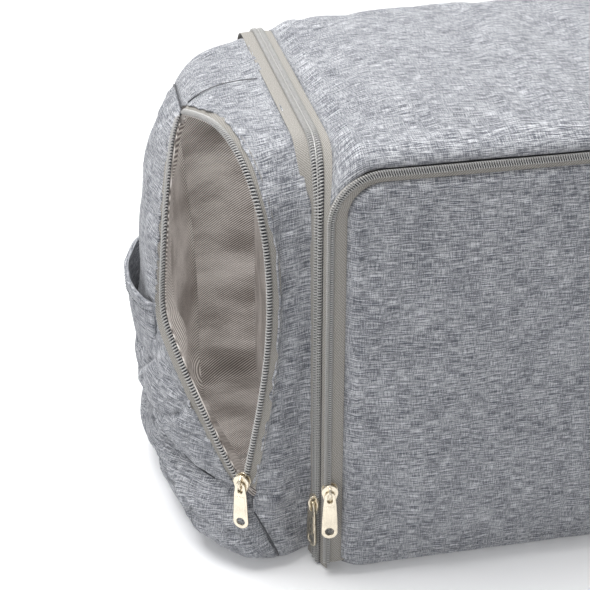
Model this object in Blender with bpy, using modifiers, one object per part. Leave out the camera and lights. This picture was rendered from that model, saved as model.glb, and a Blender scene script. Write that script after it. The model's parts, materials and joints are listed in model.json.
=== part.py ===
"""Diaper bag with a two-part zipped lid, a zipped front pocket and an insulated bottle pocket in each end.

The bag stands on its base on the XY plane: X runs along the bag, +Y towards its back, +Z up.
Each end is one domed skin that is cut along its seams into panels.
The lid opens forward on a fold at the base, its top half on a second fold at the top front edge,
and the front pocket's panel on a third fold at its own bottom edge.
"""
import math

import bmesh
import bpy
from mathutils import Matrix, Vector

# Driving dimensions, in metres.
SHIFT_Y = 0.0059
FRONT_Y = -0.106
BACK_Y = 0.106
TOP_Z = 0.277
BACK_RADIUS = 0.024
GAP = 0.0005

ZIP_TOP_X = 0.1485
ZIP_FRONT_X = 0.1505
ZIP_FRONT_Y = -0.1158
ZIP_RADIUS = 0.038
ZIP_TURN = math.radians(70)
TAPE_WIDTH = 0.0090
TAPE_THICK = 0.0014
COIL_WIDTH = 0.0030
COIL_HEIGHT = 0.0012
BACK_ZIP_Z = 0.2518
BACK_TAPE = 0.0083
BACK_SEAM = BACK_TAPE + GAP
ZIP_SPLIT = 138
ZIP_FOOT_Z = 0.0045

SKIN = 0.003
SKIN_TOP_Z = 0.2746
SKIN_BACK_Y = 0.1036
END_X = 0.1525
END_DEPTH = 0.082
END_MIDDLE_Y = 0.014
END_MIDDLE_Z = 0.090
END_RADIUS = 0.030
END_RADIUS_GROWTH = 0.045
END_FOOT_RADIUS = 0.42
END_SAG = 0.026
END_SAG_DEPTH = 0.050
PLAN_POWER = 2.5
TOP_POWER = 3.6
BASE_POWER = 7.0
BOOT_Z = 0.056
SHOULDER_Y = 0.035

MOUTH_DEPTH = 0.042
MOUTH_DRIFT = 0.015
MOUTH_INNER_BOW = 0.0234
MOUTH_INNER_POWER = 1.13
MOUTH_OUTER_BOW = 0.0279
MOUTH_OUTER_POWER = 0.76
MOUTH_START_Z = 0.0618
MOUTH_END_Y = 0.004
MOUTH_TAPE = 0.0065
MOUTH_TAPE_THICK = 0.0012
MOUTH_COIL_RADIUS = 0.0013
MOUTH_COIL_INSET = 0.0018
TAPE_LIFT = 0.0010

PANEL_HALF_X = ZIP_TOP_X - TAPE_WIDTH - GAP
TOP_PAD = 0.006
TOP_CROWN = 0.008
LID_FRONT_Y = -0.125
LID_RADIUS = 0.016
FOLD_CLEARANCE = 0.0003
FOLD_ANGLE = math.radians(45)

LID_AXIS_Y = -0.122
LID_AXIS_Z = 0.018
LID_BOTTOM_Z = 0.012
WALL_Y = -0.109
WALL_THICK = 0.004
WALL_HALF_X = 0.1455
WALL_TOP_Z = 0.2655
WALL_RADIUS = 0.026
POCKET_FRONT_Y = -0.1335
POCKET_PAD = 0.006
POCKET_HALF_X = 0.1385
POCKET_TOP_Z = 0.2630
GUSSET_DROP = 0.010
POCKET_RADIUS = 0.020
POCKET_TAPE_Y = -0.1278
POCKET_TAPE_WIDTH = 0.0075
POCKET_COIL_RADIUS = 0.0015

BASE_THICK = 0.0035
BOARD_THICK = 0.003
BACK_THICK = 0.007
DIVIDER_X = 0.1475
DIVIDER_THICK = 0.003
LINING_X = 0.1508
LINING_THICK = 0.002
INSET = 0.008
LINING_INSET = 0.012

SLIDER_LENGTH = 0.0135
SLIDER_WIDTH = 0.0095
SLIDER_PLATE = 0.0014
TAB_LENGTH = 0.034
TAB_THICK = 0.0011
MAIN_SLIDER_Z = 0.047
POCKET_SLIDER_Z = 0.064
POCKET_SLIDER_TURN = math.radians(-10)
BOTTLE_SLIDER_LIFT = 0.0042
BOTTLE_SLIDER_RISE = 0.003

END_HEART = Vector((-0.1645, 0.020, 0.130))

SLIP_LOW_Y = -0.026
SLIP_HIGH_Y = 0.080
SLIP_TOP_Z = 0.145
SLIP_THICK = 0.0016
SLIP_FOOT_LIFT = 0.0022
SLIP_HEM_LIFT = 0.0115

HANDLE_HALF_X = 0.044
HANDLE_Z = 0.224
HANDLE_DROP = 0.040
HANDLE_RADIUS = 0.0045
HANDLE_BEND = 0.014
HANDLE_OFF = 0.0026
STRAP_X = 0.086
STRAP_TOP_Z = 0.228
PAD_LOW_Z = 0.135
PAD_WIDTH = 0.052
PAD_THICK = 0.008
WEB_WIDTH = 0.025
WEB_Y = 0.1128
WEB_THICK = 0.0016
ADJUSTER_Z = 0.100

CLOTH = ("mottled_grey_cloth", (0.30, 0.31, 0.34, 1.0), 0.95, 0.0)
CLOTH_DARK = ("grey_cloth_base", (0.24, 0.25, 0.28, 1.0), 0.95, 0.0)
TAPE = ("taupe_zip_tape", (0.42, 0.39, 0.35, 1.0), 0.85, 0.0)
COIL = ("grey_nylon_coil", (0.28, 0.28, 0.30, 1.0), 0.35, 0.0)
FOIL = ("silver_foil_lining", (0.45, 0.42, 0.40, 1.0), 0.35, 0.6)
LINING = ("grey_lining", (0.20, 0.20, 0.22, 1.0), 0.9, 0.0)
METAL = ("champagne_metal", (0.80, 0.72, 0.58, 1.0), 0.25, 1.0)
WEBBING = ("grey_webbing", (0.22, 0.22, 0.24, 1.0), 0.85, 0.0)
PLASTIC = ("black_plastic", (0.03, 0.03, 0.035, 1.0), 0.45, 0.0)
BOARD = ("stiffener_board", (0.10, 0.10, 0.11, 1.0), 0.6, 0.0)


def clear_scene():
    """Empty the file of its starting objects."""
    for obj in list(bpy.data.objects):
        bpy.data.objects.remove(obj, do_unlink=True)


def new_collection(name):
    """Make a collection under the scene."""
    made = bpy.data.collections.new(name)
    bpy.context.scene.collection.children.link(made)
    return made


clear_scene()
BAG = new_collection("diaper_bag")
CUTTERS = new_collection("cutters")


def material(spec):
    """Principled material from a (name, colour, roughness, metallic) tuple."""
    name, colour, roughness, metallic = spec
    made = bpy.data.materials.get(name)
    if made:
        return made
    made = bpy.data.materials.new(name)
    made.use_nodes = True
    shader = made.node_tree.nodes["Principled BSDF"]
    shader.inputs["Base Color"].default_value = colour
    shader.inputs["Roughness"].default_value = roughness
    shader.inputs["Metallic"].default_value = metallic
    made.diffuse_color = colour
    return made


def empty(name, location, parent=None):
    """Empty that carries the pieces of one body, with its origin on the body's axis."""
    made = bpy.data.objects.new(name, None)
    BAG.objects.link(made)
    made.parent = parent
    made.location = Vector(location) - (world_place(parent) if parent else Vector())
    return made


def world_place(obj):
    """Location of an unrotated chain of empties."""
    place = Vector()
    while obj:
        place += obj.location
        obj = obj.parent
    return place


def carry(obj, body):
    """Parent a piece to its body's empty and leave it where it was modelled in the bag's frame."""
    obj.parent = body
    frame = world_place(body) - world_place(bag)
    obj.matrix_basis = Matrix.Translation(-frame) @ obj.matrix_basis
    return obj


def finish(obj, spec, smooth=True):
    """Give a piece its material and smooth shading."""
    obj.data.materials.clear()
    obj.data.materials.append(material(spec))
    if smooth and obj.type == "MESH":
        obj.data.shade_smooth()
        obj.data.set_sharp_from_angle(angle=math.radians(35))
    return obj


def curve_plate(name, outlines, thick, spec, turn=(0, 0, 0), place=(0, 0, 0)):
    """Flat plate from closed 2D outlines, later outlines being holes in the first."""
    curve = bpy.data.curves.new(name, "CURVE")
    curve.dimensions = "2D"
    curve.fill_mode = "BOTH"
    curve.extrude = thick / 2
    for outline in outlines:
        spline = curve.splines.new("POLY")
        spline.points.add(len(outline) - 1)
        for point, (u, v) in zip(spline.points, outline):
            point.co = (u, v, 0, 1)
        spline.use_cyclic_u = True
    obj = bpy.data.objects.new(name, curve)
    BAG.objects.link(obj)
    obj.rotation_euler = turn
    obj.location = place
    return finish(obj, spec)


def side_plate(name, outline, x_low, x_high, spec):
    """Plate whose outline is in Y and Z, extruded along X."""
    turn = (math.pi / 2, 0, math.pi / 2)
    return curve_plate(name, [outline], x_high - x_low, spec, turn, ((x_low + x_high) / 2, 0, 0))


def front_plate(name, outlines, y_low, y_high, spec):
    """Plate whose outline is in X and Z, extruded along Y."""
    turn = (math.pi / 2, 0, 0)
    return curve_plate(name, outlines, y_high - y_low, spec, turn, (0, (y_low + y_high) / 2, 0))


def flat_plate(name, outline, z_low, z_high, spec):
    """Plate whose outline is in X and Y, extruded along Z."""
    return curve_plate(name, [outline], z_high - z_low, spec, (0, 0, 0), (0, 0, (z_low + z_high) / 2))


def tube(name, points, radius, spec):
    """Round bar or piping through the points."""
    curve = bpy.data.curves.new(name, "CURVE")
    curve.dimensions = "3D"
    curve.bevel_depth = radius
    curve.bevel_resolution = 2
    curve.use_fill_caps = True
    spline = curve.splines.new("POLY")
    spline.points.add(len(points) - 1)
    for point, place in zip(spline.points, points):
        point.co = (*place, 1)
    obj = bpy.data.objects.new(name, curve)
    BAG.objects.link(obj)
    return finish(obj, spec)


def mesh_object(name, mesh, spec, where=None):
    """Object for a mesh, in the bag's collection unless told otherwise."""
    obj = bpy.data.objects.new(name, mesh)
    (where or BAG).objects.link(obj)
    return finish(obj, spec)


def baked(obj):
    """Replace a curve, or a mesh with modifiers, by its plain welded mesh."""
    bpy.context.view_layer.update()
    seen = obj.evaluated_get(bpy.context.evaluated_depsgraph_get())
    mesh = bpy.data.meshes.new_from_object(seen)
    mesh.transform(obj.matrix_world)
    work = bmesh.new()
    work.from_mesh(mesh)
    bmesh.ops.remove_doubles(work, verts=work.verts, dist=1e-6)
    work.to_mesh(mesh)
    work.free()
    name = obj.name
    spec_material = obj.data.materials[0]
    bpy.data.objects.remove(obj, do_unlink=True)
    made = bpy.data.objects.new(name, mesh)
    BAG.objects.link(made)
    mesh.materials.clear()
    mesh.materials.append(spec_material)
    mesh.shade_smooth()
    mesh.set_sharp_from_angle(angle=math.radians(35))
    return made


def hide_as_cutter(obj):
    """Keep a cutter out of the model."""
    for owner in list(obj.users_collection):
        owner.objects.unlink(obj)
    CUTTERS.objects.link(obj)
    obj.hide_render = True
    obj.display_type = "WIRE"
    return obj


def combine(obj, other, operation):
    """Add a Boolean modifier to obj."""
    step = obj.modifiers.new(operation.lower(), "BOOLEAN")
    step.operation = operation
    step.solver = "EXACT"
    step.object = hide_as_cutter(other)
    return obj


def block(name, low, high):
    """Box cutter between two corners."""
    mesh = bpy.data.meshes.new(name)
    work = bmesh.new()
    bmesh.ops.create_cube(work, size=1.0)
    size = Vector(high) - Vector(low)
    middle = (Vector(high) + Vector(low)) / 2
    bmesh.ops.scale(work, vec=size, verts=work.verts)
    bmesh.ops.translate(work, vec=middle, verts=work.verts)
    work.to_mesh(mesh)
    work.free()
    obj = bpy.data.objects.new(name, mesh)
    CUTTERS.objects.link(obj)
    obj.hide_render = True
    obj.display_type = "WIRE"
    return obj


def mirrored(obj, name):
    """Copy of a piece on the other side of the YZ plane."""
    mesh = obj.data.copy()
    mesh.name = name
    mesh.transform(Matrix.Scale(-1, 4, (1, 0, 0)))
    mesh.flip_normals()
    made = bpy.data.objects.new(name, mesh)
    BAG.objects.link(made)
    return made


def arc(centre, radius, start, stop, steps):
    """Points of a circular arc in a plane, angles in degrees."""
    points = []
    for k in range(steps + 1):
        angle = math.radians(start + (stop - start) * k / steps)
        points.append((centre[0] + radius * math.cos(angle), centre[1] + radius * math.sin(angle)))
    return points


def rounded_box(x_low, x_high, y_low, y_high, radius, steps=4):
    """Closed outline of a rectangle with round corners."""
    points = []
    corners = ((x_high, y_high, 0), (x_low, y_high, 90), (x_low, y_low, 180), (x_high, y_low, 270))
    for x, y, start in corners:
        centre = (x + (radius if x == x_low else -radius), y + (radius if y == y_low else -radius))
        points += arc(centre, radius, start, start + 90, steps)
    return points


def arch(half_x, low_z, top_z, radius, steps=6):
    """Open path up one side of an upright panel, round its two top corners and down the other."""
    right = arc((half_x - radius, top_z - radius), radius, 0, 90, steps)
    left = arc((-half_x + radius, top_z - radius), radius, 90, 180, steps)
    return [(half_x, low_z)] + right + left + [(-half_x, low_z)]


def arch_band(inner, outer, low_z, inner_drop=0.0, outer_drop=0.0):
    """Closed outline between two arches that are offset from the pocket panel's edge."""
    outer_top = POCKET_TOP_Z + outer - outer_drop
    inner_top = POCKET_TOP_Z + inner - inner_drop
    outside = arch(POCKET_HALF_X + outer, low_z, outer_top, POCKET_RADIUS + outer)
    inside = arch(POCKET_HALF_X + inner, low_z, inner_top, POCKET_RADIUS + inner)
    return outside + inside[::-1]


def zip_stations(start, stop):
    """Points of the main zip's line on the right, each with the directions out of it and across it.

    The line runs up the groove beside the lid's front, where the zip faces sideways, over the front
    corner, where it turns to face up, back along the top and down the back corner. Start and stop are
    heights on the front or back, or angles on the front corner.
    """
    front = Vector((0, ZIP_FRONT_Y + ZIP_RADIUS, TOP_Z - ZIP_RADIUS))
    back = Vector((0, BACK_Y - BACK_RADIUS, TOP_Z - BACK_RADIUS))
    sideways = Vector((1, 0, 0))
    stations = []

    def add(centre, radius, degrees, height=None):
        out = Vector((0, math.cos(math.radians(degrees)), math.sin(math.radians(degrees))))
        turned = min(max((degrees - 90) / 90, 0.0), 1.0)
        place = centre + out * radius
        place.x = ZIP_TOP_X + (ZIP_FRONT_X - ZIP_TOP_X) * turned
        if height is not None:
            place.z = height
        twist = ZIP_TURN * turned
        normal = out * math.cos(twist) + sideways * math.sin(twist)
        across = sideways * math.cos(twist) - out * math.sin(twist)
        stations.append((place, normal, across))

    first = start[1] if start[0] == "angle" else 180
    last = stop[1] if stop[0] == "angle" else 90
    if start[0] == "height":
        add(front, ZIP_RADIUS, 180, start[1])
    steps = max(2, round(abs(first - last) / 15))
    for k in range(steps + 1):
        add(front, ZIP_RADIUS, first + (last - first) * k / steps)
    if stop[0] == "height":
        for k in range(7):
            add(back, BACK_RADIUS, 90 - 15 * k)
        add(back, BACK_RADIUS, 0, stop[1])
    return stations


def zip_half(name, side, start, stop):
    """One half of the main zip: a tape with its coil standing proud along the edge that meets the
    other half. Side is 1 for the half on the bag's end, -1 for the half on the lid.
    """
    section = [
        (GAP / 2, -TAPE_THICK),
        (TAPE_WIDTH, -TAPE_THICK),
        (TAPE_WIDTH, 0.0),
        (COIL_WIDTH, 0.0),
        (COIL_WIDTH - 0.0005, COIL_HEIGHT),
        (GAP / 2 + 0.0003, COIL_HEIGHT),
    ]
    mesh = bpy.data.meshes.new(name)
    work = bmesh.new()
    rows = []
    for place, normal, across in zip_stations(start, stop):
        rows.append([work.verts.new(place + across * (side * u) + normal * v) for u, v in section])
    count = len(section)
    for low, high in zip(rows, rows[1:]):
        for k in range(count):
            after = (k + 1) % count
            work.faces.new((low[k], high[k], high[after], low[after]))
    work.faces.new(rows[0])
    work.faces.new(rows[-1])
    bmesh.ops.recalc_face_normals(work, faces=work.faces)
    work.to_mesh(mesh)
    work.free()
    return mesh_object(name, mesh, TAPE)


class Ring:
    """One upright section of an end of the bag, at a depth out from the main zip."""

    def __init__(self, depth):
        part = min(depth / END_DEPTH, 1.0)
        across = (1 - part ** PLAN_POWER) ** (1 / PLAN_POWER)
        up = (1 - part ** TOP_POWER) ** (1 / TOP_POWER)
        down = (1 - part ** BASE_POWER) ** (1 / BASE_POWER)
        half = (SKIN_BACK_Y - FRONT_Y) / 2 * across
        middle = (SKIN_BACK_Y + FRONT_Y) / 2 + END_MIDDLE_Y * part
        self.x = END_X + depth
        self.y0 = middle - half
        self.y1 = middle + half
        self.z0 = END_MIDDLE_Z * (1 - down)
        self.z1 = END_MIDDLE_Z + (SKIN_TOP_Z - END_MIDDLE_Z) * up
        self.radius = min(END_RADIUS + END_RADIUS_GROWTH * part, 0.9 * half, 0.45 * (self.z1 - self.z0))
        self.foot = END_FOOT_RADIUS * self.radius

    def point(self, y, z):
        """Point of the section on the left end, its front sagging forward towards the base."""
        return Vector((-self.x, y - self.sag(z) * (SKIN_BACK_Y - y), z))

    def sag(self, z):
        """Share by which a point at height z moves forward for each metre that it is from the back."""
        part = min((self.x - END_X) / END_SAG_DEPTH, 1.0)
        return part * (2 - part) * END_SAG * (1 - z / SKIN_TOP_Z) / (SKIN_BACK_Y - FRONT_Y)

    def outline(self, sides=4, corners=6):
        """Closed loop: up the front, back over the top, down the back and forward underneath."""
        r = self.radius
        f = self.foot
        y0, y1, z0, z1 = self.y0, self.y1, self.z0, self.z1
        runs = (
            ((y0, z0 + f), (y0, z1 - r), (y0 + r, z1 - r), 180, r),
            ((y0 + r, z1), (y1 - r, z1), (y1 - r, z1 - r), 90, r),
            ((y1, z1 - r), (y1, z0 + f), (y1 - f, z0 + f), 0, f),
            ((y1 - f, z0), (y0 + f, z0), (y0 + f, z0 + f), -90, f),
        )
        loop = []
        for begin, end, centre, angle, bend in runs:
            for k in range(sides):
                t = k / sides
                loop.append(self.point(begin[0] + (end[0] - begin[0]) * t, begin[1] + (end[1] - begin[1]) * t))
            for y, z in arc(centre, bend, angle, angle - 90, corners)[:-1]:
                loop.append(self.point(y, z))
        return loop

    def along(self, t):
        """Point on the pocket's mouth line: t = 0 low on the front, t = 1 on the shoulder."""
        r = self.radius
        base = self.z0 + self.foot
        front = self.z1 - r - base
        bend = math.pi / 2 * r
        begin = max(MOUTH_START_Z - base, 0.0)
        end = front + bend + min(max(MOUTH_END_Y - self.y0 - r, 0.0), self.y1 - self.y0 - 2 * r)
        s = begin + (end - begin) * t
        if s < front:
            return self.point(self.y0, base + s)
        if s < front + bend:
            angle = math.pi - (s - front) / r
            return self.point(self.y0 + r + r * math.cos(angle), self.z1 - r + r * math.sin(angle))
        return self.point(self.y0 + r + s - front - bend, self.z1)


def end_depth_at(y, z):
    """Depth of the end's skin at a place seen from the side."""
    low = 0.0
    high = END_DEPTH * 0.9999
    for _ in range(40):
        depth = (low + high) / 2
        ring = Ring(depth)
        r = ring.radius if z > END_MIDDLE_Z else ring.foot
        upright_y = (y + ring.sag(z) * SKIN_BACK_Y) / (1 + ring.sag(z))
        dy = max(ring.y0 + r - upright_y, upright_y - ring.y1 + r, 0.0)
        dz = max(ring.z0 + r - z, z - ring.z1 + r, 0.0)
        if math.hypot(dy, dz) < r:
            low = depth
        else:
            high = depth
    return low


def lofted(name, loops, closed_end=True):
    """Surface through loops of equal length, the last one filled."""
    mesh = bpy.data.meshes.new(name)
    work = bmesh.new()
    rows = [[work.verts.new(place) for place in loop] for loop in loops]
    count = len(loops[0])
    for low, high in zip(rows, rows[1:]):
        for k in range(count):
            after = (k + 1) % count
            work.faces.new((low[k], high[k], high[after], low[after]))
    if closed_end:
        work.faces.new(rows[-1])
    bmesh.ops.recalc_face_normals(work, faces=work.faces)
    work.to_mesh(mesh)
    work.free()
    return mesh


def end_skin(name):
    """Whole domed skin of the left end, open towards the middle of the bag."""
    loops = []
    for degrees in (0, 12, 24, 36, 47, 58, 68, 77, 84):
        loops.append(Ring(END_DEPTH * math.sin(math.radians(degrees))).outline())
    obj = mesh_object(name, lofted(name, loops), CLOTH)
    facing_out(obj, END_HEART)
    shell = obj.modifiers.new("thickness", "SOLIDIFY")
    shell.thickness = SKIN
    shell.offset = -1
    shell.use_even_offset = True
    return obj


def facing_out(obj, inside):
    """Turn an open surface's faces away from a point inside it."""
    total = 0.0
    for face in obj.data.polygons:
        total += face.area * (face.center - inside).dot(face.normal)
    if total < 0:
        obj.data.flip_normals()


def mouth_depth(t, bow):
    """Depth of one lip of the bottle pocket's mouth along the mouth line."""
    power = MOUTH_INNER_POWER if bow < 0 else MOUTH_OUTER_POWER
    return MOUTH_DEPTH + MOUTH_DRIFT * t + bow * math.sin(math.pi * t) ** power


def mouth_cutter(name):
    """Wedge that opens the leaf-shaped mouth of the bottle pocket."""
    steps = 14
    inner = [Ring(mouth_depth(k / steps, -MOUTH_INNER_BOW)).along(k / steps) for k in range(steps + 1)]
    outer = [Ring(mouth_depth(k / steps, MOUTH_OUTER_BOW)).along(k / steps) for k in range(steps, -1, -1)]
    rim = inner + outer[1:-1]
    near = [END_HEART + (place - END_HEART) * 0.72 for place in rim]
    far = [END_HEART + (place - END_HEART) * 1.25 for place in rim]
    mesh = bpy.data.meshes.new(name)
    work = bmesh.new()
    rows = [[work.verts.new(place) for place in loop] for loop in (near, far)]
    count = len(rim)
    for k in range(count):
        after = (k + 1) % count
        work.faces.new((rows[0][k], rows[1][k], rows[1][after], rows[0][after]))
    for row in rows:
        lip = steps
        for k in range(lip):
            low = row[k], row[(count - k) % count]
            high = row[k + 1], row[(count - k - 1) % count]
            corners = []
            for vert in (low[0], high[0], high[1], low[1]):
                if vert not in corners:
                    corners.append(vert)
            if len(corners) > 2:
                work.faces.new(corners)
    bmesh.ops.recalc_face_normals(work, faces=work.faces)
    work.to_mesh(mesh)
    work.free()
    obj = bpy.data.objects.new(name, mesh)
    CUTTERS.objects.link(obj)
    return obj


def step_along(t, depth, width):
    """Depth of the skin a given distance further out from the main zip, at the same t."""
    start = Ring(depth).along(t)
    low = 0.0 if width < 0 else depth
    high = depth if width < 0 else END_DEPTH * 0.9999
    for _ in range(40):
        middle = (low + high) / 2
        far = (Ring(middle).along(t) - start).length > abs(width)
        if far == (width < 0):
            low = middle
        else:
            high = middle
    return (low + high) / 2


def skin_normal(t, depth):
    """Outward direction of the end's skin."""
    small = 0.0004
    across = Ring(depth + small).along(t) - Ring(depth - small).along(t)
    length = Ring(depth).along(min(t + 0.01, 1.0)) - Ring(depth).along(max(t - 0.01, 0.0))
    normal = across.cross(length).normalized()
    if normal.dot(Ring(depth).along(t) - END_HEART) < 0:
        normal = -normal
    return normal


def mouth_tape(name, bow, direction):
    """Zip tape lying on the skin beside one lip of the mouth."""
    steps = 26
    rows = []
    for k in range(steps + 1):
        t = k / steps
        edge = mouth_depth(t, bow)
        row = []
        for width in (GAP, MOUTH_TAPE):
            depth = step_along(t, edge, direction * width)
            row.append(Ring(depth).along(t) + skin_normal(t, depth) * (TAPE_LIFT + MOUTH_TAPE_THICK))
        rows.append(row)
    mesh = bpy.data.meshes.new(name)
    work = bmesh.new()
    verts = [[work.verts.new(place) for place in row] for row in rows]
    for low, high in zip(verts, verts[1:]):
        work.faces.new((low[0], low[1], high[1], high[0]))
    work.to_mesh(mesh)
    work.free()
    obj = mesh_object(name, mesh, TAPE)
    facing_out(obj, END_HEART)
    shell = obj.modifiers.new("thickness", "SOLIDIFY")
    shell.thickness = MOUTH_TAPE_THICK
    shell.offset = -1
    return baked(obj)


def mouth_zip(name, bow, direction):
    """Tape of one lip of the mouth with its nylon coil along the lip's edge."""
    steps = 28
    points = []
    for k in range(steps + 1):
        t = 0.012 + 0.976 * k / steps
        depth = step_along(t, mouth_depth(t, bow), direction * MOUTH_COIL_INSET)
        points.append(Ring(depth).along(t) + skin_normal(t, depth) * (TAPE_LIFT + MOUTH_COIL_RADIUS))
    coil = baked(tube(name + "_coil", points, MOUTH_COIL_RADIUS, COIL))
    return baked(combine(mouth_tape(name, bow, direction), coil, "UNION"))


def end_panels():
    """Panels of the left end: boot, gusset, back panel and face, cut from one skin."""
    wide = 0.5
    seam = GAP / 2
    split_x = -(END_X + MOUTH_DEPTH)
    pieces = []
    plans = (
        ("end_boot_left", CLOTH_DARK, (-wide, -wide, -wide), (0, wide, BOOT_Z - seam), False),
        ("end_gusset_left", CLOTH, (split_x + seam, -wide, BOOT_Z + seam), (0, SHOULDER_Y - seam, wide), True),
        ("end_back_left", CLOTH, (split_x + seam, SHOULDER_Y + seam, BOOT_Z + seam), (0, wide, wide), False),
        ("end_face_left", CLOTH, (-wide, -wide, BOOT_Z + seam), (split_x - seam, wide, wide), True),
    )
    for name, spec, low, high, has_mouth in plans:
        piece = end_skin(name)
        finish(piece, spec)
        combine(piece, block(name + "_bounds", low, high), "INTERSECT")
        if has_mouth:
            combine(piece, mouth_cutter(name + "_mouth"), "DIFFERENCE")
        pieces.append(baked(piece))
    return pieces


def slip_pocket(name):
    """Open-topped patch pocket low on the end's face, standing off the face towards its hem."""
    low_z = BOOT_Z + 0.003
    columns, rows = 10, 6
    mesh = bpy.data.meshes.new(name)
    work = bmesh.new()
    bmesh.ops.create_grid(work, x_segments=columns, y_segments=rows, size=1.0)
    for vert in work.verts:
        u = (vert.co.x + 1) / 2
        v = (vert.co.y + 1) / 2
        y = SLIP_LOW_Y + (SLIP_HIGH_Y - SLIP_LOW_Y) * u
        z = low_z + (SLIP_TOP_Z - low_z) * v
        lift = SLIP_FOOT_LIFT + SLIP_HEM_LIFT * v * math.sin(math.pi * u) ** 0.6
        vert.co = (-(END_X + end_depth_at(y, z) + lift), y, z)
    work.to_mesh(mesh)
    work.free()
    obj = mesh_object(name, mesh, CLOTH)
    facing_out(obj, END_HEART)
    shell = obj.modifiers.new("thickness", "SOLIDIFY")
    shell.thickness = SLIP_THICK
    shell.offset = -1
    return baked(obj)


def build_ends(body):
    """Both ends of the bag with their bottle pockets, linings and slip pockets."""
    left = end_panels()
    left.append(mouth_zip("bottle_zip_inner_left", -MOUTH_INNER_BOW, -1))
    left.append(mouth_zip("bottle_zip_outer_left", MOUTH_OUTER_BOW, 1))
    left.append(slip_pocket("slip_pocket_left"))
    low = BASE_THICK + 2 * GAP
    wall = rounded_box(FRONT_Y + INSET, BACK_Y - INSET, low, TOP_Z - INSET, BACK_RADIUS)
    half = DIVIDER_THICK / 2
    left.append(baked(side_plate("divider_left", wall, -DIVIDER_X - half, -DIVIDER_X + half, LINING)))
    low = low + LINING_THICK + 2 * GAP
    foil = rounded_box(FRONT_Y + LINING_INSET, BACK_Y - LINING_INSET, low, TOP_Z - LINING_INSET, BACK_RADIUS)
    half = LINING_THICK / 2
    left.append(baked(side_plate("foil_lining_left", foil, -LINING_X - half, -LINING_X + half, FOIL)))
    for piece in left:
        twin = mirrored(piece, piece.name.replace("left", "right"))
        carry(piece, body)
        carry(twin, body)


def build_carcass(body):
    """Base, stiffener, back panel and the fixed half of the main zip."""
    half = END_X - 2 * GAP
    base = rounded_box(-half, half, LID_FRONT_Y + 0.001, SKIN_BACK_Y, 0.004)
    carry(flat_plate("base_panel", base, 0.0, BASE_THICK, CLOTH_DARK), body)
    low = BASE_THICK + GAP
    board_x = DIVIDER_X - DIVIDER_THICK
    board = rounded_box(-board_x, board_x, FRONT_Y + INSET, BACK_Y - LINING_INSET, 0.010)
    carry(flat_plate("base_board", board, low, low + BOARD_THICK, BOARD), body)
    back = rounded_box(-half, half, low, BACK_ZIP_Z - BACK_SEAM, 0.004)
    carry(front_plate("back_panel", [back], BACK_Y - BACK_THICK, BACK_Y, CLOTH), body)
    right = zip_half("main_zip_body_right", 1, ("height", ZIP_FOOT_Z), ("height", BACK_ZIP_Z - BACK_TAPE))
    left = mirrored(right, "main_zip_body_left")
    carry(right, body)
    carry(left, body)
    run_x = ZIP_TOP_X - GAP / 2
    run = rounded_box(-run_x, run_x, BACK_ZIP_Z - BACK_TAPE, BACK_ZIP_Z - GAP / 2, 0.001, 2)
    carry(front_plate("main_zip_body_back", [run], BACK_Y - TAPE_THICK, BACK_Y + 0.0004, TAPE), body)


def build_front_wall(body):
    """Inner wall of the lid's front half with the front pocket's gusset."""
    wall = arch(WALL_HALF_X, LID_BOTTOM_Z, WALL_TOP_Z, WALL_RADIUS)
    carry(front_plate("front_wall", [wall], WALL_Y - WALL_THICK / 2, WALL_Y + WALL_THICK / 2, LINING), body)
    gusset = arch_band(0.0040, 0.0070, LID_BOTTOM_Z, GUSSET_DROP, GUSSET_DROP)
    rear = WALL_Y - WALL_THICK / 2 - GAP
    carry(front_plate("pocket_gusset", [gusset], POCKET_TAPE_Y + 0.0043, rear, CLOTH), body)
    tape = arch_band(0.0010, 0.0070, LID_BOTTOM_Z, GUSSET_DROP)
    carry(front_plate("pocket_zip_wall", [tape], POCKET_TAPE_Y + 0.0023, POCKET_TAPE_Y + 0.0038, TAPE), body)
    right = zip_half("main_zip_front_right", -1, ("height", LID_AXIS_Z), ("angle", ZIP_SPLIT + 1.5))
    left = mirrored(right, "main_zip_front_left")
    carry(right, body)
    carry(left, body)


def build_pocket_flap(body):
    """Padded panel that closes the front pocket, with its zip tape and coil."""
    panel = arch(POCKET_HALF_X, LID_BOTTOM_Z, POCKET_TOP_Z, POCKET_RADIUS)
    pad = front_plate("front_pocket_panel", [panel], POCKET_FRONT_Y, POCKET_FRONT_Y + POCKET_PAD, CLOTH)
    pad = baked(pad)
    edge = pad.modifiers.new("soft_edge", "BEVEL")
    edge.width = 0.0022
    edge.segments = 2
    edge.angle_limit = math.radians(50)
    carry(pad, body)
    tape = arch_band(GAP, POCKET_TAPE_WIDTH, LID_BOTTOM_Z)
    low = POCKET_TAPE_Y - 0.0007
    carry(front_plate("pocket_zip_tape", [tape], low, low + 0.0014, TAPE), body)
    offset = POCKET_TAPE_WIDTH + POCKET_COIL_RADIUS + GAP
    path = arch(POCKET_HALF_X + offset, LID_BOTTOM_Z, POCKET_TOP_Z + offset, POCKET_RADIUS + offset, 8)
    points = [(x, POCKET_TAPE_Y, z) for x, z in path]
    carry(tube("pocket_zip_coil", points, POCKET_COIL_RADIUS, COIL), body)


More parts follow.
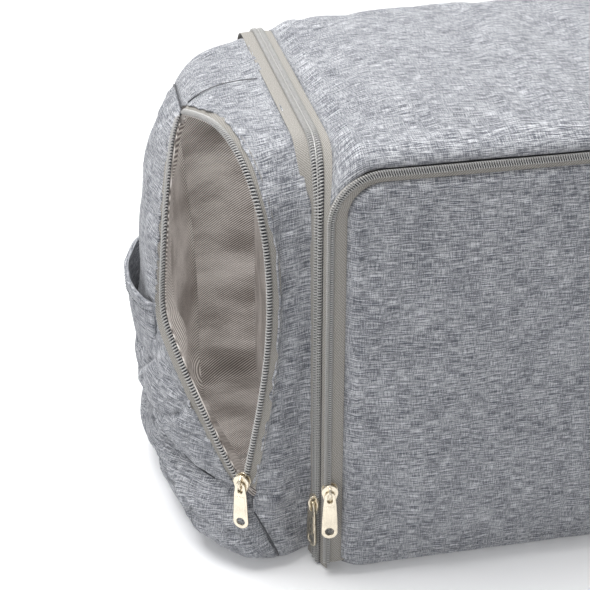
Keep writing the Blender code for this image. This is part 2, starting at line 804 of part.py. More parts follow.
def top_surface(u, v):
    """Point of the top panel: u from left to right, v from the fold to the rear lip."""
    front = Vector((LID_FRONT_Y + LID_RADIUS, TOP_Z - LID_RADIUS))
    back = Vector((BACK_Y - BACK_RADIUS, TOP_Z - BACK_RADIUS))
    first = LID_RADIUS * (math.pi / 2 - FOLD_ANGLE) - 0.0006
    flat = back.x - front.x
    bend = BACK_RADIUS * math.pi / 2
    lip = back.y - (BACK_ZIP_Z + BACK_SEAM)
    if lip < 0:
        bend += lip
    s = (first + flat + bend) * v
    if s < first:
        angle = math.pi / 2 + (first - s) / LID_RADIUS
        place = front + LID_RADIUS * Vector((math.cos(angle), math.sin(angle)))
        out = Vector((math.cos(angle), math.sin(angle)))
    elif s < first + flat:
        place = Vector((front.x + s - first, TOP_Z))
        out = Vector((0, 1))
    else:
        angle = math.pi / 2 - (s - first - flat) / BACK_RADIUS
        out = Vector((math.cos(angle), math.sin(angle)))
        place = back + BACK_RADIUS * out
    crown = TOP_CROWN * (1 - (2 * u - 1) ** 4) * math.sin(math.pi * min(v * 1.02, 1.0)) ** 0.8
    place = place + out * crown
    return Vector((PANEL_HALF_X * (2 * u - 1), place.x, place.y))


def build_top_flap(body):
    """Padded top half of the lid with its zip tapes."""
    columns, rows = 10, 22
    mesh = bpy.data.meshes.new("top_panel")
    work = bmesh.new()
    bmesh.ops.create_grid(work, x_segments=columns, y_segments=rows, size=1.0)
    for vert in work.verts:
        vert.co = top_surface((vert.co.x + 1) / 2, (vert.co.y + 1) / 2)
    work.to_mesh(mesh)
    work.free()
    panel = mesh_object("top_panel", mesh, CLOTH)
    facing_out(panel, Vector((0, 0, 0.1)))
    pad = panel.modifiers.new("padding", "SOLIDIFY")
    pad.thickness = TOP_PAD
    pad.offset = -1
    carry(panel, body)
    right = zip_half("main_zip_top_right", -1, ("angle", ZIP_SPLIT), ("height", BACK_ZIP_Z + GAP / 2))
    left = mirrored(right, "main_zip_top_left")
    carry(right, body)
    carry(left, body)
    run = rounded_box(-PANEL_HALF_X, PANEL_HALF_X, BACK_ZIP_Z + GAP / 2, BACK_ZIP_Z + BACK_TAPE, 0.001, 2)
    carry(front_plate("main_zip_top_back", [run], BACK_Y - TAPE_THICK, BACK_Y + 0.0004, TAPE), body)


def slider_mesh():
    """Zip slider seen along -Y with its nose up: tapered plate with an arched bridge for the pull."""
    wide = SLIDER_WIDTH / 2
    tall = SLIDER_LENGTH / 2
    outline = [
        (-wide, tall - 0.002),
        (-wide + 0.002, tall),
        (wide - 0.002, tall),
        (wide, tall - 0.002),
        (wide * 0.72, -tall + 0.002),
        (wide * 0.45, -tall),
        (-wide * 0.45, -tall),
        (-wide * 0.72, -tall + 0.002),
    ]
    turn = (math.pi / 2, 0, 0)
    plate = baked(curve_plate("slider_plate", [outline], SLIDER_PLATE, METAL, turn, (0, -SLIDER_PLATE / 2, 0)))
    lift = SLIDER_PLATE * 0.5
    bridge = [
        (-lift, 0.0056),
        (-0.0040, 0.0044),
        (-0.0051, 0.0030),
        (-0.0051, -0.0002),
        (-0.0040, -0.0018),
        (-lift, -0.0026),
        (-lift, -0.0012),
        (-0.0036, -0.0004),
        (-0.0041, 0.0006),
        (-0.0041, 0.0024),
        (-0.0034, 0.0034),
        (-lift, 0.0042),
    ]
    arched = baked(side_plate("slider_bridge", bridge, -0.0010, 0.0010, METAL))
    made = baked(combine(plate, arched, "UNION"))
    mesh = made.data
    bpy.data.objects.remove(made)
    return mesh


def tab_curve():
    """Pull tab hanging from its hinge bar, with a loop hole and a round finger hole."""
    top = 0.0010
    low = top - TAB_LENGTH
    outline = [(-0.0026, top), (0.0026, top), (0.0036, top - 0.0014), (0.0038, top - 0.008)]
    outline += [(0.0041, top - 0.013), (0.0046, low + 0.004)]
    outline += arc((0.0026, low + 0.002), 0.002, 0, -90, 3) + arc((-0.0026, low + 0.002), 0.002, -90, -180, 3)
    outline += [(-0.0046, low + 0.004), (-0.0041, top - 0.013), (-0.0038, top - 0.008), (-0.0036, top - 0.0014)]
    loop = [(-0.0019, -0.0010), (0.0019, -0.0010), (0.0024, -0.0066), (0.0013, -0.0078)]
    loop += [(-0.0013, -0.0078), (-0.0024, -0.0066)]
    hole = arc((0, low + 0.0052), 0.0022, 0, 330, 11)
    return [outline, loop, hole]


def build_slider(name, place, heading, holder):
    """Slider and pull tab at a place on a zip, facing -Y turned by heading about Z."""
    rider = empty(name + "_rider", place, holder)
    rider.rotation_euler = (0, 0, heading)
    slider = bpy.data.objects.new(name, SLIDER.copy())
    BAG.objects.link(slider)
    slider.parent = rider
    hinge = bpy.data.objects.new(name + "_tab_hinge", None)
    BAG.objects.link(hinge)
    hinge.parent = rider
    hinge.location = (0, -0.0027, 0.0014)
    tab = curve_plate(name + "_tab", tab_curve(), TAB_THICK, METAL, (math.pi / 2, 0, 0))
    tab.parent = hinge


def build_carry_gear(body, handle_body):
    """Grab handle, padded straps, webbing and adjusters on the back panel."""
    y = BACK_Y + HANDLE_RADIUS + HANDLE_OFF
    low = HANDLE_Z - HANDLE_DROP + HANDLE_BEND
    turn = arc((HANDLE_HALF_X - HANDLE_BEND, low), HANDLE_BEND, 0, -90, 5)
    path = [(HANDLE_HALF_X, HANDLE_Z)] + turn
    path += [(-x, z) for x, z in turn[::-1]] + [(-HANDLE_HALF_X, HANDLE_Z)]
    handle = tube("grab_handle", [(x, y, z) for x, z in path], HANDLE_RADIUS, WEBBING)
    carry(handle, handle_body)
    for side, tag in ((-1, "left"), (1, "right")):
        x = side * HANDLE_HALF_X
        tab = rounded_box(x - 0.011, x + 0.011, HANDLE_Z - 0.010, HANDLE_Z + 0.009, 0.003, 2)
        front_plate("handle_anchor_" + tag, [tab], BACK_Y + GAP, BACK_Y + 0.0020, WEBBING)
        carry(bpy.data.objects["handle_anchor_" + tag], body)
        x = side * STRAP_X
        outer = [(0.0145, STRAP_TOP_Z), (0.0175, 0.200), (0.0182, 0.170), (0.0170, PAD_LOW_Z)]
        inner = [(y - PAD_THICK, z) for y, z in outer]
        path = [(BACK_Y + y, z) for y, z in outer + inner[::-1]]
        pad = side_plate("strap_pad_" + tag, path, x - PAD_WIDTH / 2, x + PAD_WIDTH / 2, CLOTH)
        carry(pad, body)
        yoke = rounded_box(x - 0.020, x + 0.020, STRAP_TOP_Z - 0.018, STRAP_TOP_Z + 0.006, 0.003, 2)
        carry(front_plate("strap_yoke_" + tag, [yoke], BACK_Y + GAP, BACK_Y + 0.0022, WEBBING), body)
        web = rounded_box(x - WEB_WIDTH / 2, x + WEB_WIDTH / 2, 0.022, PAD_LOW_Z - GAP, 0.001, 2)
        carry(front_plate("strap_webbing_" + tag, [web], WEB_Y, WEB_Y + WEB_THICK, WEBBING), body)
        foot = rounded_box(x - 0.018, x + 0.018, 0.008, 0.036, 0.003, 2)
        carry(front_plate("strap_foot_" + tag, [foot], BACK_Y + GAP, WEB_Y - GAP, WEBBING), body)
        build_adjuster("strap_adjuster_" + tag, x, body)


def build_adjuster(name, x, body):
    """Keeper that slides on the strap's webbing."""
    middle = WEB_Y + WEB_THICK / 2
    outside = rounded_box(-0.0165, 0.0165, -0.0034, 0.0034, 0.0015, 2)
    inside = rounded_box(-0.0131, 0.0131, -0.0014, 0.0014, 0.0004, 1)
    rider = empty(name + "_rider", (x, SHIFT_Y + middle, ADJUSTER_Z), body)
    ring = curve_plate(name, [outside, inside], 0.014, PLASTIC)
    ring.parent = rider


bag = empty("bag", (0, SHIFT_Y, 0))
lid_axis = empty("front_lid_hinge", (0, SHIFT_Y + LID_AXIS_Y, LID_AXIS_Z), bag)
fold_out = LID_RADIUS + COIL_HEIGHT + FOLD_CLEARANCE
fold_y = LID_FRONT_Y + LID_RADIUS - fold_out * math.cos(FOLD_ANGLE)
fold_z = TOP_Z - LID_RADIUS + fold_out * math.sin(FOLD_ANGLE)
top_axis = empty("top_flap_hinge", (0, SHIFT_Y + fold_y, fold_z), lid_axis)
pocket_axis = empty("pocket_flap_hinge", (0, SHIFT_Y + POCKET_FRONT_Y, LID_BOTTOM_Z), lid_axis)
handle_axis = empty("handle_hinge", (0, SHIFT_Y + BACK_Y + HANDLE_RADIUS + HANDLE_OFF, HANDLE_Z), bag)

build_carcass(bag)
build_ends(bag)
build_front_wall(lid_axis)
build_top_flap(top_axis)
build_pocket_flap(pocket_axis)
build_carry_gear(bag, handle_axis)

SLIDER = slider_mesh()
slider_out = COIL_HEIGHT + GAP
main_x = -ZIP_FRONT_X - slider_out * math.sin(ZIP_TURN)
main_y = ZIP_FRONT_Y - slider_out * math.cos(ZIP_TURN)
build_slider("main_slider", (main_x, SHIFT_Y + main_y, MAIN_SLIDER_Z), -ZIP_TURN, lid_axis)
pocket_x = -(POCKET_HALF_X + POCKET_TAPE_WIDTH + GAP)
pocket_place = (pocket_x, SHIFT_Y + POCKET_TAPE_Y - POCKET_COIL_RADIUS - 3 * GAP, POCKET_SLIDER_Z)
build_slider("pocket_slider", pocket_place, POCKET_SLIDER_TURN, pocket_axis)
tip = Ring(MOUTH_DEPTH).along(0.0)
outward = skin_normal(0.03, MOUTH_DEPTH)
heading = math.atan2(outward.x, -outward.y)
perch = tip + outward * BOTTLE_SLIDER_LIFT
for side, tag in ((1, "left"), (-1, "right")):
    place = (side * perch.x, SHIFT_Y + perch.y, perch.z + BOTTLE_SLIDER_RISE)
    build_slider("bottle_slider_" + tag, place, side * heading, bag)
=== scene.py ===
"""Looks of the diaper bag: cloth, linings, zips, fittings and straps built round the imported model.

Lengths are in metres. Shapes are worked out in the bag's own frame, X along the bag and +Y to its
back, and mesh_piece() moves them by SHIFT into the model's frame.
"""

import json
import math

import bmesh
import bpy
import numpy as np
from mathutils import Matrix, Vector, noise
from mathutils.bvhtree import BVHTree


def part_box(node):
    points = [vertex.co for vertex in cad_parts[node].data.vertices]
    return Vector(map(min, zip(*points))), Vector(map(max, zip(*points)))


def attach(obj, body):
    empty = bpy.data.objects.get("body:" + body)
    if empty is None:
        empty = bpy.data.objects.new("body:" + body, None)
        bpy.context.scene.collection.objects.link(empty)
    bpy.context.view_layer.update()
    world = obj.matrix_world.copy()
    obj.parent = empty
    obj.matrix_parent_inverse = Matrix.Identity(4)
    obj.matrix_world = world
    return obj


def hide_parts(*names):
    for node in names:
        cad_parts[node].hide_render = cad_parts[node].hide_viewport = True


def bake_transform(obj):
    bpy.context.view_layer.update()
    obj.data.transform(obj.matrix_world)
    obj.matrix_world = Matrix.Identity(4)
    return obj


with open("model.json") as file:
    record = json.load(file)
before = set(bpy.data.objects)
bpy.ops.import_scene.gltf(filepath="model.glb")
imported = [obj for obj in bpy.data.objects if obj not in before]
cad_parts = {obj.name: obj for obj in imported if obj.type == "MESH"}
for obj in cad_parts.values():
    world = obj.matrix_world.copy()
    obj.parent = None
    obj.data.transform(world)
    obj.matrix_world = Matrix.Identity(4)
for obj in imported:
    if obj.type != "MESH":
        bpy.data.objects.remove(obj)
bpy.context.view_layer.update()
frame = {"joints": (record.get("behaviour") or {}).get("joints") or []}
JOINTS = {joint["name"]: joint for joint in frame["joints"]}

# Directions, and the body's outline
LEFTWARD = Vector((-1, 0, 0))
FORWARD = Vector((0, -1, 0))
REARWARD = Vector((0, 1, 0))
UPWARD = Vector((0, 0, 1))
MIRROR = Vector((-1, 1, 1))
UPRIGHT = Matrix.Rotation(math.pi / 2, 4, "X")
BACK_Y = 0.106
SHIFT = Vector((0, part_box("back_panel")[1].y - BACK_Y, 0))
FRONT_Y = -0.106
TOP_Z = 0.277
BACK_RADIUS = 0.024
BACK_ZIP_Z = 0.2518
MIDDLE = Vector((0, 0, 0.1))

# Line of the main zip
ZIP_TOP_X = 0.1485
ZIP_FRONT_X = 0.1505
ZIP_FRONT_Y = -0.1158
ZIP_RADIUS = 0.038
ZIP_TURN = math.radians(70)
ZIP_FOOT_Z = 0.0015
ZIP_CORNER = 0.010
ZIP_STEP = 0.0015

# Cloth of the ends: a dome out from the main zip, its sections rounded rectangles
SKIN_TOP_Z = 0.2746
SKIN_BACK_Y = 0.1036
END_X = 0.1525
END_DEPTH = 0.082
END_MIDDLE_Y = 0.014
END_MIDDLE_Z = 0.090
END_RADIUS = 0.030
END_RADIUS_GROWTH = 0.045
END_FOOT_RADIUS = 0.42
END_SAG = 0.026
END_SAG_DEPTH = 0.050
PLAN_POWER = 2.5
TOP_POWER = 3.6
BASE_POWER = 7.0
BOOT_Z = 0.056
LEFT_HEART = Vector((-END_X - 0.01, 0.015, 0.125))

# Mouth of the bottle pockets, between an inner and an outer lip
MOUTH_DEPTH = 0.042
MOUTH_DRIFT = 0.015
MOUTH_INNER_BOW = 0.0234
MOUTH_INNER_POWER = 1.13
MOUTH_OUTER_BOW = 0.0279
MOUTH_OUTER_POWER = 0.76
MOUTH_START_Z = 0.0618
MOUTH_END_Y = 0.004
LIP_TILT = math.radians(34)

# Lid and front pocket
PANEL_HALF_X = 0.139
LID_BOTTOM_Z = 0.012
POCKET_FRONT_Y = -0.1335
POCKET_HALF_X = 0.1385
POCKET_TOP_Z = 0.2630
POCKET_RADIUS = 0.020
POCKET_TAPE_Y = -0.1278
POCKET_CHAIN = 0.0092
POCKET_FOOT_Z = 0.009

# Thickness of tapes, thin cloth and padded panels
TAPE_THICK = 0.0006
LINING_THICK = 0.0008
END_CLOTH_THICK = 0.0011
CLOTH_THICK = 0.0012
PADDED_THICK = 0.0050

# Stitches, and the length of the cloth simulation
STITCH_LENGTH = 0.0026
STITCH_GAP = 0.0011
STITCH_RADIUS = 0.00028
CRUMPLE_FRAMES = 16


def smooth(x):
    """Ease from 0 to 1 as x goes from 0 to 1."""
    x = min(max(x, 0.0), 1.0)
    return x * x * (3 - 2 * x)


def ripple(x, y, z=0.0):
    """Smooth noise from about -1 to 1."""
    return noise.noise(Vector((x, y, z)))


def hump(x, width):
    """Bell curve, 1 where x is 0."""
    return math.exp(-(x / width) ** 2)


def level_way(degrees):
    """Unit vector at an angle in the upright plane along the bag."""
    angle = math.radians(degrees)
    return Vector((math.cos(angle), 0, math.sin(angle)))


def deep_way(degrees):
    """Unit vector at an angle in the upright plane from front to back."""
    angle = math.radians(degrees)
    return Vector((0, math.cos(angle), math.sin(angle)))


def distances(points):
    """Distance of each point of a line from its start."""
    return np.concatenate(([0], np.cumsum(np.linalg.norm(np.diff(points, axis=0), axis=1))))


def between(s, length, values):
    """Values interpolated at distances s along a line."""
    return np.stack([np.interp(s, length, values[:, k]) for k in range(3)], axis=-1)


# Materials -------------------------------------------------------------------------------------


class Nodes:
    """Small helper that adds and links shader nodes."""

    def __init__(self, name):
        self.material = bpy.data.materials.new(name)
        self.material.use_nodes = True
        self.tree = self.material.node_tree
        self.shader = self.tree.nodes["Principled BSDF"]

    def feed(self, socket, value):
        """Link a socket to a node's output, or set its plain value."""
        if isinstance(value, bpy.types.NodeSocket):
            self.tree.links.new(value, socket)
        else:
            socket.default_value = value

    def add(self, kind, inputs=(), **settings):
        """New node with its inputs fed and its settings made."""
        node = self.tree.nodes.new(kind)
        for key, value in settings.items():
            setattr(node, key, value)
        for key, value in dict(inputs).items():
            self.feed(node.inputs[key], value)
        return node

    def math(self, operation, a, b=0.0):
        """Result of a sum on one or two values."""
        return self.add("ShaderNodeMath", {0: a, 1: b}, operation=operation).outputs[0]

    def cloth(self):
        """Coordinates in metres along and across the cloth."""
        return self.add("ShaderNodeAttribute", attribute_name="cloth").outputs["Vector"]

    def place(self):
        """Coordinates in metres in the piece's own space."""
        return self.add("ShaderNodeTexCoord").outputs["Object"]

    def scaled(self, vector, factors, turn=0.0):
        """Coordinates scaled along each axis and turned in their plane."""
        inputs = {"Vector": vector, "Scale": factors, "Rotation": (0, 0, turn)}
        return self.add("ShaderNodeMapping", inputs).outputs["Vector"]

    def noise(self, vector, scale=1.0, detail=2.0):
        """Smooth noise from 0 to 1."""
        inputs = {"Vector": vector, "Scale": scale, "Detail": detail}
        return self.add("ShaderNodeTexNoise", inputs).outputs["Fac"]

    def ramp(self, value, stops):
        """Colour at a value, between stops of a place and a colour."""
        node = self.add("ShaderNodeValToRGB", {"Fac": value})
        while len(node.color_ramp.elements) < len(stops):
            node.color_ramp.elements.new(0.5)
        for element, (place, colour) in zip(node.color_ramp.elements, stops):
            element.position = place
            element.color = (*colour, 1)
        return node.outputs["Color"]

    def shades(self, value, low, high, tint, dark):
        """Ramp from a darker shade of a tint up to the tint."""
        return self.ramp(value, ((low, tuple(dark * c for c in tint)), (high, tint)))

    def finish(self, colour, rough, height=None, depth=0.0, **fixed):
        """Link colour, roughness and bump, and set the shader's plain values."""
        self.feed(self.shader.inputs["Base Color"], colour)
        self.feed(self.shader.inputs["Roughness"], rough)
        if height is not None:
            bump = self.add("ShaderNodeBump", {"Height": height, "Distance": depth, "Strength": 1.0})
            self.tree.links.new(bump.outputs["Normal"], self.shader.inputs["Normal"])
        for key, value in fixed.items():
            self.shader.inputs[key.replace("_", " ")].default_value = value
        return self.material


def woven(n, vector, pitch):
    """Height of a plain weave."""
    wide = n.add("ShaderNodeSeparateXYZ", {0: n.scaled(vector, (math.pi / pitch,) * 3)})
    across = n.math("ABSOLUTE", n.math("SINE", wide.outputs[0]))
    along = n.math("ABSOLUTE", n.math("SINE", wide.outputs[1]))
    return n.math("MULTIPLY", across, along)


def mottled_cloth(name, dark, middle, light):
    """Two-tone woven cloth whose uneven yarns run both ways."""
    n = Nodes(name)
    cloth = n.cloth()
    weft = n.noise(n.scaled(cloth, (110, 1900, 1)), detail=3)
    warp = n.noise(n.scaled(cloth, (2100, 190, 1)), detail=3)
    fine = n.noise(cloth, scale=2600, detail=1)
    patch = n.noise(cloth, scale=45, detail=3)
    yarn = n.math("ADD", n.math("MULTIPLY", weft, 0.58), n.math("MULTIPLY", warp, 0.34))
    yarn = n.math("ADD", yarn, n.math("MULTIPLY", fine, 0.30))
    yarn = n.math("ADD", yarn, n.math("MULTIPLY", patch, 0.10))
    colour = n.ramp(yarn, ((0.555, dark), (0.655, middle), (0.765, light)))
    weave = woven(n, cloth, 0.0007)
    height = n.math("ADD", weave, n.math("MULTIPLY", yarn, 1.2))
    return n.finish(colour, 0.92, height, 0.00022, Sheen_Weight=0.15, Sheen_Roughness=0.5)


def tape_cloth(name, tint, edge):
    """Zip tape: a tight twill with a slightly lighter rib."""
    n = Nodes(name)
    cloth = n.cloth()
    slant = n.add("ShaderNodeSeparateXYZ", {0: n.scaled(cloth, (1, 1, 1), math.radians(52))})
    twill = n.math("SINE", n.math("MULTIPLY", slant.outputs[0], 2 * math.pi / 0.0011))
    speckle = n.noise(cloth, scale=1700, detail=2)
    value = n.math("ADD", n.math("MULTIPLY", twill, 0.16), speckle)
    colour = n.ramp(value, ((0.32, tint), (0.70, edge)))
    return n.finish(colour, 0.85, value, 0.00018, Sheen_Weight=0.1)


def nylon(name, tint):
    """Moulded nylon coil."""
    n = Nodes(name)
    where = n.place()
    tone = n.noise(where, scale=900, detail=2)
    colour = n.shades(tone, 0.3, 0.7, tint, 0.8)
    return n.finish(colour, 0.28, tone, 0.00004, Specular_IOR_Level=0.6)


def plated(name, tint):
    """Pale gold plated zinc, polished, with fine scratches."""
    n = Nodes(name)
    where = n.place()
    scratch = n.noise(n.scaled(where, (3000, 3000, 260)), detail=3)
    rough = n.add("ShaderNodeMapRange", {"Value": scratch, "To Min": 0.16, "To Max": 0.38})
    colour = n.shades(n.noise(where, scale=160), 0.3, 0.7, tint, 0.86)
    return n.finish(colour, rough.outputs[0], scratch, 0.00002, Metallic=1.0)


def foil(name):
    """Metallised lining with fine slanting ribs, which glows faintly in its own colour: painted light inside
    the pockets.
    """
    n = Nodes(name)
    cloth = n.cloth()
    slant = n.add("ShaderNodeSeparateXYZ", {0: n.scaled(cloth, (1, 1, 1), math.radians(38))})
    rib = n.math("SINE", n.math("MULTIPLY", slant.outputs[0], 2 * math.pi / 0.0015))
    cloudy = n.noise(n.scaled(cloth, (42, 20, 1), 0.6), detail=4)
    value = n.math("ADD", n.math("MULTIPLY", rib, 0.22), cloudy)
    stops = (0.28, (0.16, 0.14, 0.13)), (0.5, (0.50, 0.455, 0.425)), (0.74, (0.88, 0.84, 0.81))
    colour = n.ramp(value, stops)
    # Painted light: the lining's colour also drives a faint emission, standing in for light that reaches
    # inside the pockets.
    n.tree.links.new(colour, n.shader.inputs["Emission Color"])
    return n.finish(colour, 0.34, rib, 0.00030, Metallic=0.25, Emission_Strength=0.24)


def lining_cloth(name, tint):
    """Plain woven lining."""
    n = Nodes(name)
    cloth = n.cloth()
    tone = n.noise(cloth, scale=700, detail=4)
    colour = n.shades(tone, 0.3, 0.7, tint, 0.7)
    return n.finish(colour, 0.75, woven(n, cloth, 0.0006), 0.00012, Sheen_Weight=0.2)


def webbing_cloth(name, tint):
    """Ribbed webbing."""
    n = Nodes(name)
    cloth = n.cloth()
    part = n.add("ShaderNodeSeparateXYZ", {0: cloth})
    rib = n.math("ABSOLUTE", n.math("SINE", n.math("MULTIPLY", part.outputs[1], math.pi / 0.0016)))
    pick = n.math("ABSOLUTE", n.math("SINE", n.math("MULTIPLY", part.outputs[0], math.pi / 0.0011)))
    height = n.math("MULTIPLY", rib, n.math("ADD", pick, 0.5))
    tone = n.math("ADD", n.math("MULTIPLY", height, 0.4), n.noise(cloth, scale=1200))
    colour = n.shades(tone, 0.35, 0.95, tint, 0.55)
    return n.finish(colour, 0.8, height, 0.00030)


def moulded(name, tint):
    """Moulded plastic with a fine grain."""
    n = Nodes(name)
    where = n.place()
    grain = n.noise(where, scale=2400, detail=2)
    rough = n.add("ShaderNodeMapRange", {"Value": grain, "To Min": 0.38, "To Max": 0.55})
    colour = n.shades(grain, 0.2, 0.8, tint, 0.8)
    return n.finish(colour, rough.outputs[0], grain, 0.00005)


CLOTH = mottled_cloth("cloth_grey", (0.070, 0.077, 0.098), (0.246, 0.255, 0.279), (0.66, 0.67, 0.70))
TAPE = tape_cloth("cloth_tape", (0.190, 0.180, 0.163), (0.390, 0.372, 0.344))
COIL = nylon("nylon_coil", (0.50, 0.495, 0.485))
METAL = plated("plated_metal", (0.86, 0.78, 0.63))
# Foil lining, with a faint painted glow.
FOIL = foil("foil_lining")
LINING = lining_cloth("lining_grey", (0.20, 0.20, 0.21))
WEBBING = webbing_cloth("webbing_grey", (0.24, 0.24, 0.26))
PLASTIC = moulded("plastic_black", (0.035, 0.035, 0.04))
# Dark nylon for real stitches, and for the seam cords and coil beds that are painted shade.
THREAD_AND_SHADE = nylon("thread_dark", (0.045, 0.047, 0.055))


# Pieces ----------------------------------------------------------------------------------------


def add_object(name, data):
    """New object in the scene."""
    obj = bpy.data.objects.new(name, data)
    bpy.context.scene.collection.objects.link(obj)
    return obj


def mesh_piece(name, points, faces, material, cloth=None):
    """Object from points in the bag's frame, with its coordinates on the cloth."""
    mesh = bpy.data.meshes.new(name)
    mesh.from_pydata([tuple(Vector(p) + SHIFT) for p in points], [], faces)
    mesh.update()
    if cloth is not None:
        layer = mesh.attributes.new("cloth", "FLOAT_VECTOR", "POINT")
        flat = np.zeros((len(points), 3), np.float32)
        flat[:, :2] = np.array(cloth, np.float32).reshape(-1, 2)
        layer.data.foreach_set("vector", flat.ravel())
    mesh.materials.append(material)
    mesh.shade_smooth()
    return add_object(name, mesh)


def grid_faces(rows, columns, closed=False, start=0):
    """Faces of a grid of points stored row by row, optionally closed round each row."""
    faces = []
    last = columns if closed else columns - 1
    for i in range(rows - 1):
        for j in range(last):
            after = (j + 1) % columns
            a, b = start + i * columns, start + (i + 1) * columns
            faces.append((a + j, a + after, b + after, b + j))
    return faces


def tube_faces(rings, sides, start=0):
    """Faces of a tube stored ring by ring, with a cap on each end."""
    end = start + rings * sides
    faces = grid_faces(rings, sides, closed=True, start=start)
    return faces + [tuple(range(start, start + sides)), tuple(range(end - 1, end - sides - 1, -1))]


def closed_piece(name, points, faces, material, cloth=None):
    """Closed object with its faces pointing outwards."""
    obj = mesh_piece(name, points, faces, material, cloth)
    work = bmesh.new()
    work.from_mesh(obj.data)
    bmesh.ops.recalc_face_normals(work, faces=work.faces)
    work.to_mesh(obj.data)
    work.free()
    return obj


def grid_piece(name, columns, rows, spot, material):
    """Sheet from spot(u, v), which gives a place and its cloth coordinates for u and v from 0 to 1."""
    spots = [spot(j / columns, i / rows) for i in range(rows + 1) for j in range(columns + 1)]
    points, cloth = zip(*spots)
    return mesh_piece(name, points, grid_faces(rows + 1, columns + 1), material, cloth)


def evaluated(obj):
    """What the modifiers or the curve of an object make of it, as a mesh."""
    bpy.context.view_layer.update()
    return bpy.data.meshes.new_from_object(obj.evaluated_get(bpy.context.evaluated_depsgraph_get()))


def circle(x, y, radius, start, stop, steps):
    """Points of an arc, angles in degrees."""
    points = []
    for k in range(steps + 1):
        angle = math.radians(start + (stop - start) * k / steps)
        points.append((x + radius * math.cos(angle), y + radius * math.sin(angle)))
    return points


def settle_curve(obj):
    """Turn a curve object into a welded mesh in place, keeping the object's name."""
    mesh = evaluated(obj)
    mesh.transform(obj.matrix_world)
    work = bmesh.new()
    work.from_mesh(mesh)
    bmesh.ops.remove_doubles(work, verts=work.verts, dist=1e-6)
    bmesh.ops.recalc_face_normals(work, faces=work.faces)
    work.to_mesh(mesh)
    work.free()
    name, material = obj.name, obj.data.materials[0]
    bpy.data.objects.remove(obj, do_unlink=True)
    mesh.materials.clear()
    mesh.materials.append(material)
    mesh.shade_smooth()
    mesh.set_sharp_from_angle(angle=math.radians(40))
    return add_object(name, mesh)


def outline_piece(name, outlines, depth, bevel, place, material):
    """Flat plate with rounded edges, cut to outlines in its own XY plane and then put in place."""
    curve = bpy.data.curves.new(name, "CURVE")
    curve.dimensions = "2D"
    curve.fill_mode = "BOTH"
    curve.extrude = depth
    curve.bevel_depth = bevel
    curve.bevel_resolution = 3
    for outline in outlines:
        spline = curve.splines.new("POLY")
        spline.points.add(len(outline) - 1)
        for point, (a, b) in zip(spline.points, outline):
            point.co = (a, b, 0, 1)
        spline.use_cyclic_u = True
    obj = add_object(name, curve)
    obj.data.materials.append(material)
    obj.matrix_world = place
    return settle_curve(obj)


def coordinates(obj):
    """Array of a mesh's points."""
    places = np.zeros(len(obj.data.vertices) * 3, np.float32)
    obj.data.vertices.foreach_get("co", places)
    return places.reshape(-1, 3)


def place_points(obj, places):
    """Write an array of points back to a mesh."""
    obj.data.vertices.foreach_set("co", np.asarray(places, np.float32).ravel())
    obj.data.update()


def settle(obj):
    """Replace a piece's mesh by what its modifiers make of it."""
    mesh = evaluated(obj)
    obj.modifiers.clear()
    obj.data = mesh
    return obj


def thicken(obj, thickness, levels=0, lining=None):
    """Give a sheet its thickness, inwards, and subdivide it."""
    shell = obj.modifiers.new("thickness", "SOLIDIFY")
    shell.thickness = thickness
    shell.offset = -1
    if lining:
        obj.data.materials.append(lining)
        shell.material_offset = 1
    if levels:
        finer = obj.modifiers.new("finer", "SUBSURF")
        finer.levels = levels
        finer.render_levels = levels
    return settle(obj)


def face_out(obj, inside=MIDDLE):
    """Turn an open sheet's faces away from a point inside it."""
    heart = inside + SHIFT
    total = sum(f.area * (f.center - heart).dot(f.normal) for f in obj.data.polygons)
    if total < 0:
        obj.data.flip_normals()
    return obj


def crumple(obj, grow, hold, cap, pressure):
    """Let a sheet that is slightly too big for its seams buckle, with hold(point) from 0 to 1."""
    rest = coordinates(obj)
    group = obj.vertex_groups.new(name="hold")
    for index, place in enumerate(rest):
        group.add([index], float(hold(Vector(place) - SHIFT)), "REPLACE")
    step = obj.modifiers.new("cloth", "CLOTH")
    cloth = step.settings
    cloth.quality = 4
    cloth.mass = 0.2
    cloth.tension_stiffness = 25
    cloth.compression_stiffness = 25
    cloth.shear_stiffness = 8
    cloth.bending_stiffness = 0.6
    cloth.vertex_group_mass = "hold"
    cloth.pin_stiffness = 0.6
    cloth.shrink_min = -grow
    cloth.shrink_max = -grow
    cloth.use_pressure = True
    cloth.uniform_pressure_force = pressure
    cloth.effector_weights.gravity = 0
    step.collision_settings.use_collision = False
    step.point_cache.frame_start = 1
    step.point_cache.frame_end = CRUMPLE_FRAMES
    for number in range(1, CRUMPLE_FRAMES + 1):
        bpy.context.scene.frame_set(number)
    seen = obj.evaluated_get(bpy.context.evaluated_depsgraph_get())
    made = np.array([v.co for v in seen.data.vertices])
    obj.modifiers.remove(step)
    obj.vertex_groups.remove(group)
    bpy.context.scene.frame_set(1)
    moved = made - rest
    length = np.linalg.norm(moved, axis=1, keepdims=True)
    place_points(obj, rest + moved * np.minimum(1, cap / np.maximum(length, 1e-9)))
    return obj


def give(obj, body, *nodes):
    """Let a piece ride on a body and stand for CAD nodes, which are hidden."""
    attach(obj, body)
    if nodes:
        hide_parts(*nodes)
    return obj


def twin(obj, name):
    """Mirror image of a piece on the bag's right."""
    mesh = obj.data.copy()
    mesh.transform(Matrix.Scale(-1, 4, (1, 0, 0)))
    mesh.flip_normals()
    return add_object(name, mesh)


def both(obj, body, *nodes):
    """Give a left piece to a body and make its right twin."""
    other = twin(obj, obj.name.replace("left", "right"))
    give(obj, body, *nodes)
    give(other, body, *[node.replace("left", "right") for node in nodes])
    return obj, other


